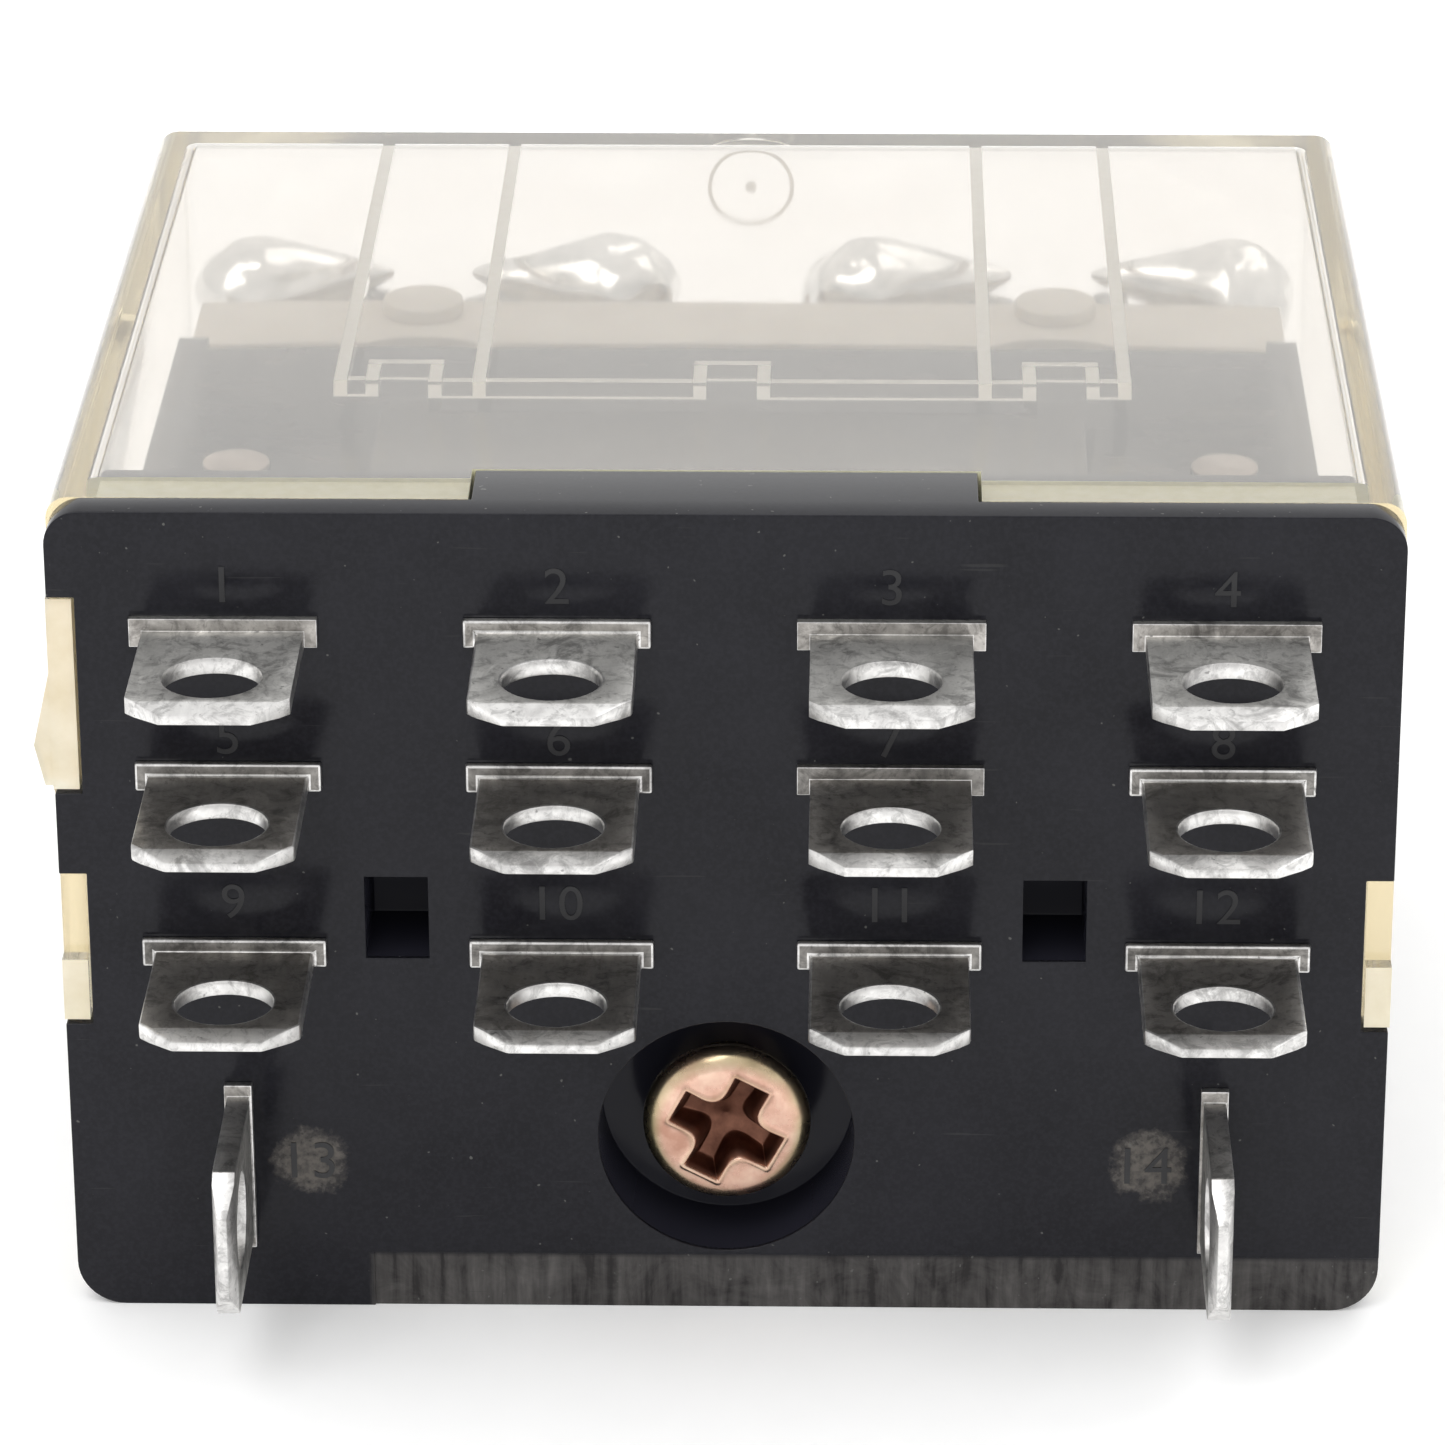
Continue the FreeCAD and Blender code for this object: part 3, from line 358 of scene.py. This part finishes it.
def metal(name, dark, light, rough, scale=700, stretch=None, bump=0.08):
    a = Mat(name)
    f = a.noise(1.0 if stretch else scale, 4, 0.6, a.stretched(stretch) if stretch else None)
    a.set(Base_Color=a.ramp(f, (0.35, dark), (0.65, light)), Metallic=1.0)
    a.put(a.bsdf.inputs["Roughness"], a.remap(f, 0.35, 0.65, rough[0], rough[1]))
    a.bump(f, bump, 0.00002)
    return a.m


def plastic(name, dark, light, rough, scale=300, sub=0.0):
    a = Mat(name)
    f = a.noise(scale, 4, 0.55)
    a.set(Base_Color=a.ramp(f, (0.35, dark), (0.65, light)), Roughness=rough)
    if sub:
        a.bsdf.inputs["Subsurface Weight"].default_value = sub
        a.bsdf.inputs["Subsurface Radius"].default_value = (0.001, 0.0008, 0.0005)
        a.bsdf.inputs["Subsurface Scale"].default_value = 0.6
    a.bump(a.noise(3200, 3, 0.5), 0.06, 0.00002)
    return a.m


def wound():
    a = Mat("enamelled_copper")
    x, y, z = a.xyz()
    turns = a.math("SINE", a.math("MULTIPLY", y, 2 * math.pi / 0.00016))
    f = a.noise(500, 3, 0.5)
    a.set(Base_Color=a.ramp(f, (0.3, (0.34, 0.115, 0.035)), (0.7, (0.55, 0.22, 0.07))), Metallic=0.85, Roughness=0.3)
    a.bump(turns, 0.5, 0.00004)
    return a.m


M = {
    "black_moulding": black_moulding(),
    "clear_cover": clear_cover(),
    "tinned_blade": tinned(),
    # tin copies: a duller one for broad faces, which is also the painted shade at the roots of closed and coil blades;
    # a lighter, glossier one as the painted highlight on edges and bevels; a darker one as the painted shade at the
    # roots of the other blades
    "tinned_dull_and_root_shade": tinned("tinned_dull_and_root_shade", (0.22, 0.207, 0.192), (0.54, 0.515, 0.485), (0.36, 0.54)),
    "tinned_edge_highlight": tinned("tinned_edge_highlight", (0.56, 0.55, 0.54), (0.88, 0.87, 0.85), (0.28, 0.45)),
    "tinned_root_shade": tinned("tinned_root_shade", (0.15, 0.143, 0.135), (0.36, 0.345, 0.325), (0.40, 0.60)),
    "moulded_figures": black_moulding("moulded_figures", figures=True),
    "cover_rib": clear_cover("cover_rib", "rib"),
    "cover_rim": clear_cover("cover_rim", "rim"),
    "cover_tab": clear_cover("cover_tab", "tab"),
    "coppery_screw": screw_metal(),
    "dull_rivet": metal("dull_rivet", (0.40, 0.33, 0.28), (0.58, 0.50, 0.44), (0.46, 0.32)),
    "soft_iron": metal("soft_iron", (0.42, 0.41, 0.39), (0.60, 0.59, 0.57), (0.42, 0.28), stretch=(260, 900, 900)),
    "spring_steel": metal("spring_steel", (0.45, 0.45, 0.46), (0.66, 0.66, 0.67), (0.34, 0.2)),
    "bobbin_plastic": plastic("bobbin_plastic", (0.55, 0.52, 0.45), (0.66, 0.63, 0.56), 0.45),
    "enamelled_copper": wound(),
    "coil_tape": plastic("coil_tape", (0.50, 0.36, 0.07), (0.62, 0.48, 0.13), 0.28),
    "cream_card": plastic("cream_card", (0.78, 0.715, 0.62), (0.85, 0.79, 0.70), 0.42, sub=0.15),
    "solder": metal("solder", (0.66, 0.66, 0.65), (0.92, 0.92, 0.91), (0.24, 0.09), scale=520),
    "silver_contact": metal("silver_contact", (0.60, 0.59, 0.57), (0.80, 0.79, 0.76), (0.34, 0.2), scale=900),
    "spring_bronze": metal("spring_bronze", (0.55, 0.34, 0.15), (0.74, 0.50, 0.26), (0.36, 0.22), stretch=(1400, 260, 1400)),
    "tinned_braid": metal("tinned_braid", (0.40, 0.39, 0.37), (0.66, 0.65, 0.62), (0.42, 0.26), scale=1500),
}

slot_of = {s["node"]: s["material_slot"] for s in frame["record"]["subparts"]}


def paint(ob, slot):
    ob.data.materials.clear()
    ob.data.materials.append(M[slot])


# ---------------------------------------------------------------- mesh helpers
def link(name, me, body, slot, replaces=()):
    ob = bpy.data.objects.new(name, me)
    scene.collection.objects.link(ob)
    paint(ob, slot)
    if body:
        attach(ob, body)
    if replaces:
        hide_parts(*replaces)
    return ob


def smooth_by_angle(me, degrees):
    bm = bmesh.new()
    bm.from_mesh(me)
    for f in bm.faces:
        f.smooth = True
    for e in bm.edges:
        e.smooth = not (len(e.link_faces) != 2 or e.calc_face_angle(0.0) > math.radians(degrees))
    bm.to_mesh(me)
    bm.free()


def evaluated(ob):
    deps = bpy.context.evaluated_depsgraph_get()
    deps.update()
    return bpy.data.meshes.new_from_object(ob.evaluated_get(deps))


def refine(node, body, width, segments=2, limit=28):
    """The node's own shape with its sharp edges broken, as a moulded or pressed piece has them."""
    me = nodes[node].data.copy()
    bm = bmesh.new()
    bm.from_mesh(me)
    bmesh.ops.remove_doubles(bm, verts=bm.verts, dist=1e-6)
    bmesh.ops.dissolve_limit(bm, angle_limit=math.radians(0.8), verts=bm.verts, edges=bm.edges)
    bm.to_mesh(me)
    bm.free()
    tmp = bpy.data.objects.new("tmp_" + node, me)
    scene.collection.objects.link(tmp)
    mod = tmp.modifiers.new("edge", "BEVEL")
    mod.width = width * MM
    mod.segments = segments
    mod.limit_method = "ANGLE"
    mod.angle_limit = math.radians(limit)
    mod.use_clamp_overlap = True
    tri = tmp.modifiers.new("tri", "TRIANGULATE")
    out = evaluated(tmp)
    bpy.data.objects.remove(tmp)
    smooth_by_angle(out, 35)
    return link(node + "_part", out, body, slot_of[node], (node,))


def sweep(points, radius, sides=10, closed_ends=True):
    """Round wire mesh along a list of points."""
    pts = [Vector(p) for p in points]
    n = len(pts)
    tangents = []
    for i in range(n):
        t = pts[min(i + 1, n - 1)] - pts[max(i - 1, 0)]
        tangents.append(t.normalized())
    ref = Vector((0, 0, 1)) if abs(tangents[0].z) < 0.9 else Vector((1, 0, 0))
    normal = tangents[0].cross(ref).normalized()
    verts, faces = [], []
    for i in range(n):
        if i:
            axis = tangents[i - 1].cross(tangents[i])
            if axis.length > 1e-9:
                normal = Matrix.Rotation(tangents[i - 1].angle(tangents[i]), 3, axis) @ normal
        bi = tangents[i].cross(normal).normalized()
        r = radius(i / (n - 1)) if callable(radius) else radius
        for k in range(sides):
            a = 2 * math.pi * k / sides
            verts.append(pts[i] + (normal * math.cos(a) + bi * math.sin(a)) * r)
    for i in range(n - 1):
        for k in range(sides):
            a, b = i * sides + k, i * sides + (k + 1) % sides
            faces.append((a, b, b + sides, a + sides))
    if closed_ends:
        faces.append(tuple(range(sides))[::-1])
        faces.append(tuple((n - 1) * sides + k for k in range(sides)))
    return verts, faces


def mesh_of(name, parts):
    verts, faces = [], []
    for v, f in parts:
        base = len(verts)
        verts += [tuple(p) for p in v]
        faces += [tuple(i + base for i in q) for q in f]
    me = bpy.data.meshes.new(name)
    me.from_pydata(verts, [], faces)
    me.validate()
    bm = bmesh.new()
    bm.from_mesh(me)
    bmesh.ops.recalc_face_normals(bm, faces=bm.faces)
    bm.to_mesh(me)
    bm.free()
    smooth_by_angle(me, 40)
    return me


def nurbs_line(points, resolution=24):
    """Points along the smooth NURBS line of a route."""
    cu = bpy.data.curves.new("line", "CURVE")
    cu.dimensions = "3D"
    cu.resolution_u = resolution
    sp = cu.splines.new("NURBS")
    sp.points.add(len(points) - 1)
    for p, c in zip(sp.points, points):
        p.co = (*c, 1.0)
    sp.order_u = 3
    sp.use_endpoint_u = True
    ob = bpy.data.objects.new("line", cu)
    scene.collection.objects.link(ob)
    deps = bpy.context.evaluated_depsgraph_get()
    me = bpy.data.meshes.new_from_object(ob.evaluated_get(deps))
    out = [v.co.copy() for v in me.vertices]
    bpy.data.objects.remove(ob)
    bpy.data.meshes.remove(me)
    return out


# ---------------------------------------------------------------- rigid pieces from the frame
RELAY, ARM = "relay", "armature_set"
body_of = {n: b for b, ns in frame["record"]["behaviour"]["bodies"].items() for n in ns}
FINE = {"base": 0.10, "card": 0.14, "card_pegs": 0.12, "yoke": 0.10, "armature": 0.10, "core": 0.12, "bobbin": 0.08,
        "hinge_pin": 0.08, "frame_screw": 0.07}
for n in nodes:
    if n.startswith("terminal"):
        FINE[n] = 0.085
    elif n.startswith(("closed_contact", "open_contact", "moving_contact")):
        FINE[n] = 0.12
    elif n.startswith("contact_spring"):
        FINE[n] = 0.05
FINE["roof_rivets"] = 0.05
del FINE["frame_screw"]
for n, w in FINE.items():
    ob = refine(n, body_of[n], w, 3 if w >= 0.1 else 2)
    if n == "roof_rivets":
        ob.data.materials[0] = M["dull_rivet"]
    if n.startswith("terminal"):
        # edges and bevels get the lighter, glossier tin copy as a painted highlight, and the front faces at the root
        # get a darker copy as painted shade; the broad faces of all but the closed and coil blades get a duller tin
        if "closed" not in n and "coil" not in n:
            ob.data.materials[0] = M["tinned_dull_and_root_shade"]
        ob.data.materials.append(M["tinned_edge_highlight"])
        ob.data.materials.append(M["tinned_dull_and_root_shade" if "closed" in n or "coil" in n else "tinned_root_shade"])
        flat = 0 if "coil" in n else 2
        for poly in ob.data.polygons:
            depth = poly.center.y / MM - FACE
            if depth > -0.4 and poly.normal.y < -0.97:
                poly.material_index = 2
            elif abs(poly.normal[flat]) < 0.995:
                poly.material_index = 1
for n in ("winding", "coil_tape", "coil_lead_left", "coil_lead_right"):
    paint(nodes[n], slot_of[n])

# ---------------------------------------------------------------- cover, its cut and moulded edges painted opaque cream as painted light, its ribs frosted with a painted glow
me = nodes["cover"].data.copy()
me.name = "cover_shell"
bm = bmesh.new()
bm.from_mesh(me)
bmesh.ops.remove_doubles(bm, verts=bm.verts, dist=1e-6)
bmesh.ops.recalc_face_normals(bm, faces=bm.faces)
bm.to_mesh(me)
bm.free()
cover = link("cover_shell", me, RELAY, "clear_cover", ("cover",))
for name in ("cover_rib", "cover_rim", "cover_tab"):
    me.materials.append(M[name])
for poly in me.polygons:
    c = poly.center / MM
    depth = c.y - FACE
    nx, ny, nz = poly.normal
    inner = abs(c.x) < 19.9 and 0.9 < c.z < 26.1
    lip = 1.15 < depth < 3.7 and inner and (abs(nz) > 0.9 or abs(nx) > 0.9) and (c.z > 25.3 or c.z < 1.7 or abs(c.x) > 18.9)
    lip_back = ny > 0.9 and 3.45 < depth < 3.7 and inner
    notch = ny < -0.9 and 3.5 < depth < 3.8 and abs(c.x) < 8
    notch_side = abs(nx) > 0.9 and 7.6 < abs(c.x) < 7.9 and depth < 3.8
    rib = abs(c.x) < 13.2 and 11 < depth < 35.4 and 25.3 < c.z < 25.45 and abs(nz) > 0.9
    mark = depth > 35.88 and (c.x - 0.2) ** 2 + (c.z - 24.2) ** 2 < 1.7 ** 2 and abs(ny) > 0.5 and depth < 35.97
    tab = ny < -0.9 and depth < 0.4 and c.z < 25
    tab = tab or (depth < 1.15 and c.x < -19.5 and c.z > 17 and abs(nx) > 0.6)
    # cut and moulded edges get the opaque cream of painted light; ribs and ring mark get the frosted finish with its
    # painted glow; tab fronts get the tab finish
    if lip or lip_back or notch or notch_side:
        poly.material_index = 2
    elif rib or mark:
        poly.material_index = 1
    elif tab:
        poly.material_index = 3
smooth_by_angle(me, 35)

# ---------------------------------------------------------------- moulded numbers beside the terminals
LETTER = 0.03


def figures(text, x, z, height):
    cu = bpy.data.curves.new("figure", "FONT")
    cu.body = text
    cu.size = 1.0
    cu.resolution_u = 6
    cu.space_character = 1.08
    ob = bpy.data.objects.new("figure", cu)
    scene.collection.objects.link(ob)
    flat = evaluated(ob)
    bpy.data.objects.remove(ob)
    lo = Vector((min(v.co.x for v in flat.vertices), min(v.co.y for v in flat.vertices)))
    hi = Vector((max(v.co.x for v in flat.vertices), max(v.co.y for v in flat.vertices)))
    k = height / (hi.y - lo.y)
    part = bmesh.new()
    part.from_mesh(flat)
    bpy.data.meshes.remove(flat)
    bmesh.ops.remove_doubles(part, verts=part.verts, dist=1e-5)
    front = list(part.faces)
    out = bmesh.ops.extrude_face_region(part, geom=front)
    raised = {v for v in out["geom"] if isinstance(v, bmesh.types.BMVert)}
    for v in part.verts:
        u = (v.co.x - (lo.x + hi.x) / 2) * k
        w = (v.co.y - (lo.y + hi.y) / 2) * k
        v.co = mm(x + u, -LETTER if v in raised else 0.01, z + w)
    bmesh.ops.recalc_face_normals(part, faces=part.faces)
    me = bpy.data.meshes.new("figure")
    part.to_mesh(me)
    part.free()
    return me


plate = bmesh.new()
for i, x in enumerate((-15.15, -5.05, 5.05, 15.15)):
    for text, z in ((str(i + 1), 24.68), (str(i + 5), 19.66), (str(i + 9), 14.12)):
        plate.from_mesh(figures(text, x, z, 1.15))
for text, x in (("13", -12.95), ("14", 13.18)):
    plate.from_mesh(figures(text, x, 5.16, 1.25))
me = bpy.data.meshes.new("face_figures")
plate.to_mesh(me)
plate.free()
ob = link("face_figures", me, RELAY, "black_moulding")
me.materials[0] = M["moulded_figures"]

# ---------------------------------------------------------------- screw: domed head, tapered cross recess
def smoothstep(t):
    t = max(0.0, min(1.0, t))
    return t * t * (3 - 2 * t)


def screw():
    head, neck, shank = 2.63, 1.85, 1.5
    lo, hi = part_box("frame_screw")
    front = lo[1] / MM - FACE
    end = hi[1] / MM - FACE
    cz, under = 6.06, front + 1.0
    turn = math.radians(62.0)
    rings, steps = 130, 360
    verts, faces, recess, rim = [], [], [], []

    def arm(u, v, reach, half):
        du, dv = abs(u) - reach, abs(v) - half
        out = math.hypot(max(du, 0.0), max(dv, 0.0))
        return out + min(max(du, dv), 0.0)

    def add(x, depth, z, t, r):
        verts.append(mm(x, depth, z))
        recess.append(t)
        rim.append(r)

    for i in range(rings + 1):
        r = head * i / rings
        for k in range(steps):
            a = 2 * math.pi * k / steps
            x, z = r * math.cos(a), r * math.sin(a)
            u = x * math.cos(turn) + z * math.sin(turn)
            v = -x * math.sin(turn) + z * math.cos(turn)
            taper = 0.53 + 0.03 * min(r, 1.9)
            d1, d2 = arm(u, v, 1.72, taper) - 0.06, arm(v, u, 1.72, taper) - 0.06
            h = max(0.62 - abs(d1 - d2), 0.0) / 0.62
            d = min(d1, d2) - h * h * 0.62 / 4
            depth = front + 0.07 + 0.10 * (r / head) ** 2
            q = max(0.0, min(1.0, (r - 1.85) / (head - 1.85)))
            depth += 0.62 * (1 - math.sqrt(max(0.0, 1 - 0.98 * q * q)))
            fall = smoothstep(-d / 0.40)
            depth += fall * (0.62 + 0.62 * max(0.0, 1 - r / 1.8))
            lip = math.exp(-(d / 0.09) ** 2) * 0.06
            add(x, depth - lip, cz + z, smoothstep((-d - 0.02) / 0.16),
                max(smoothstep((r - 1.95) / 0.45), 0.35 * math.exp(-((d - 0.02) / 0.06) ** 2)))
    for i in range(rings):
        for k in range(steps):
            a, b = i * steps + k, i * steps + (k + 1) % steps
            faces.append((a, b, b + steps, a + steps))
    # side of the head, its underside and the shank
    last = rings * steps
    for r, depth in ((head, under - 0.1), (head - 0.1, under), (neck, under + 0.2), (neck, 3.0), (shank, 3.0),
                     (shank, end - 0.25), (shank - 0.25, end)):
        base = len(verts)
        for k in range(steps):
            a = 2 * math.pi * k / steps
            add(r * math.cos(a), depth, cz + r * math.sin(a), 0.0, 1.0)
        for k in range(steps):
            a, b = last + k, last + (k + 1) % steps
            faces.append((a, b, base + (k + 1) % steps, base + k))
        last = base
    faces.append(tuple(last + k for k in range(steps)))
    me = bpy.data.meshes.new("screw")
    me.from_pydata(verts, [], faces)
    for name, values in (("recess", recess), ("rim", rim)):
        att = me.attributes.new(name, "FLOAT", "POINT")
        att.data.foreach_set("value", values)
    bm = bmesh.new()
    bm.from_mesh(me)
    bmesh.ops.remove_doubles(bm, verts=bm.verts, dist=1e-7)
    bmesh.ops.recalc_face_normals(bm, faces=bm.faces)
    bm.to_mesh(me)
    bm.free()
    smooth_by_angle(me, 50)
    return me


link("frame_screw_part", screw(), RELAY, "coppery_screw", ("frame_screw",))

# ---------------------------------------------------------------- solder on the springs' tails
def blob(cx, tip, seed):
    """Frozen solder drop, drawn out towards the flexible lead."""
    bm = bmesh.new()
    bmesh.ops.create_icosphere(bm, subdivisions=6, radius=1.0)
    side = 1 if tip > cx else -1
    for v in bm.verts:
        p = v.co.copy()
        q = Vector((p.x * 2.3, p.y * 2.15, p.z * 2.0))
        lift = noise.noise(p * 1.3 + Vector((seed, 0, 0))) * 0.24 + noise.noise(p * 3.1 + Vector((seed, 5, 0))) * 0.06
        q += p * lift
        # drawn-out end towards the lead
        pull = max(0.0, p.x * side)
        q.x += side * 2.4 * pull ** 2.6
        q.y *= 1.0 - 0.52 * pull ** 1.3
        q.z = q.z * (1.0 - 0.50 * pull ** 1.3) + 0.70 * pull
        v.co = mm(cx + q.x, 28.55 + q.y, 22.75 + q.z)
    me = bpy.data.meshes.new("drop")
    bm.to_mesh(me)
    bm.free()
    for poly in me.polygons:
        poly.use_smooth = True
    return me


drops = []
for i, (cx, tip) in enumerate(((-16.3, -10), (-4.35, -10), (4.4, 10), (16.5, 10))):
    me = blob(cx, tip, 3.7 * i)
    ob = bpy.data.objects.new("drop", me)
    scene.collection.objects.link(ob)
    drops.append(ob)
all_parts = []
joined = bmesh.new()
for ob in drops:
    joined.from_mesh(ob.data)
me = bpy.data.meshes.new("solder_drops")
joined.to_mesh(me)
joined.free()
for ob in drops:
    bpy.data.objects.remove(ob)
for poly in me.polygons:
    poly.use_smooth = True
link("solder_drops", me, ARM, "solder", ("solder_tags",))

# ---------------------------------------------------------------- return spring
def helix():
    r, wire, turns = 1.3, 0.2, 6.0
    y0, y1 = 18.6 + wire + 0.02, 24.0 - wire - 0.02
    pts, n = [], 260
    for i in range(n + 1):
        t = i / n
        # closed ends, open middle
        u = min(1.0, max(0.0, (t - 0.10) / 0.80))
        a = 2 * math.pi * (turns + 1.6) * t
        pts.append(mm(r * math.cos(a), y0 + (y1 - y0) * u, 16.3 + r * math.sin(a)))
    return sweep(pts, wire * MM * 0.98, 10)


spring = link("return_spring_coil", mesh_of("helix", [helix()]), RELAY, "spring_steel", ("return_spring",))
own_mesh(spring)

# ---------------------------------------------------------------- flexible pigtails: seven strands laid up
for i, (x, dive) in enumerate(((-15.15, -11.5), (-5.05, -10.0), (5.05, 10.0), (15.15, 11.5)), start=1):
    s = 1 if dive > 0 else -1
    side = 1 if abs(x) > 12 else -1
    edge = abs(x) - side * 2.2
    route = [mm(s * edge, 28.6, 22.5), mm(s * (edge - side * 1.0), 28.9, 22.4), mm(dive, 29.3, 21.4), mm(dive, 29.35, 17.2),
             mm(dive, 27.0, 13.7), mm(dive + s * side * 0.5, 18.0, 13.35), mm(x, 10.6, 12.95), mm(x, 8.6, 12.90), mm(x, 7.2, 12.87)]
    line = nurbs_line(route)
    step, along = [0.0], 0.0
    for a, b in zip(line, line[1:]):
        along += (b - a).length
        step.append(along)
    strands = [sweep(line, 0.12 * MM, 6)]
    # a frame carried along the line without twist
    t0 = (line[1] - line[0]).normalized()
    nrm = t0.cross(Vector((0, 1, 0.2))).normalized()
    frames, prev = [], t0
    for k in range(len(line)):
        t = (line[min(k + 1, len(line) - 1)] - line[max(k - 1, 0)]).normalized()
        axis = prev.cross(t)
        if axis.length > 1e-9:
            nrm = Matrix.Rotation(prev.angle(t), 3, axis) @ nrm
        frames.append((nrm.copy(), t.cross(nrm).normalized()))
        prev = t
    for k in range(6):
        pts = []
        for p, (u, v), dist in zip(line, frames, step):
            a = 2 * math.pi * (k / 6 + dist / (3.4 * MM))
            pts.append(p + (u * math.cos(a) + v * math.sin(a)) * 0.225 * MM)
        strands.append(sweep(pts, 0.118 * MM, 6))
    me = mesh_of("strands", strands)
    ob = bpy.data.objects.new("pigtail_%d_strands" % i, me)
    scene.collection.objects.link(ob)
    paint(ob, "tinned_braid")
    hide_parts("pigtail_%d" % i)
    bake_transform(ob)

# ---------------------------------------------------------------- floor
me = bpy.data.meshes.new("floor")
me.from_pydata([(-3, -3, 0), (3, -3, 0), (3, 3, 0), (-3, 3, 0)], [], [(0, 1, 2, 3)])
floor = bpy.data.objects.new("floor", me)
scene.collection.objects.link(floor)
fm = Mat("floor_paper")
fm.put(fm.bsdf.inputs["Base Color"], fm.ramp(fm.noise(900, 3, 0.5), (0.3, (0.945, 0.945, 0.945)), (0.7, (0.965, 0.965, 0.965))))
fm.set(Roughness=0.9)
fm.bsdf.inputs["Emission Color"].default_value = (1, 1, 1, 1)
fm.bsdf.inputs["Emission Strength"].default_value = 0.12
floor.data.materials.append(fm.m)
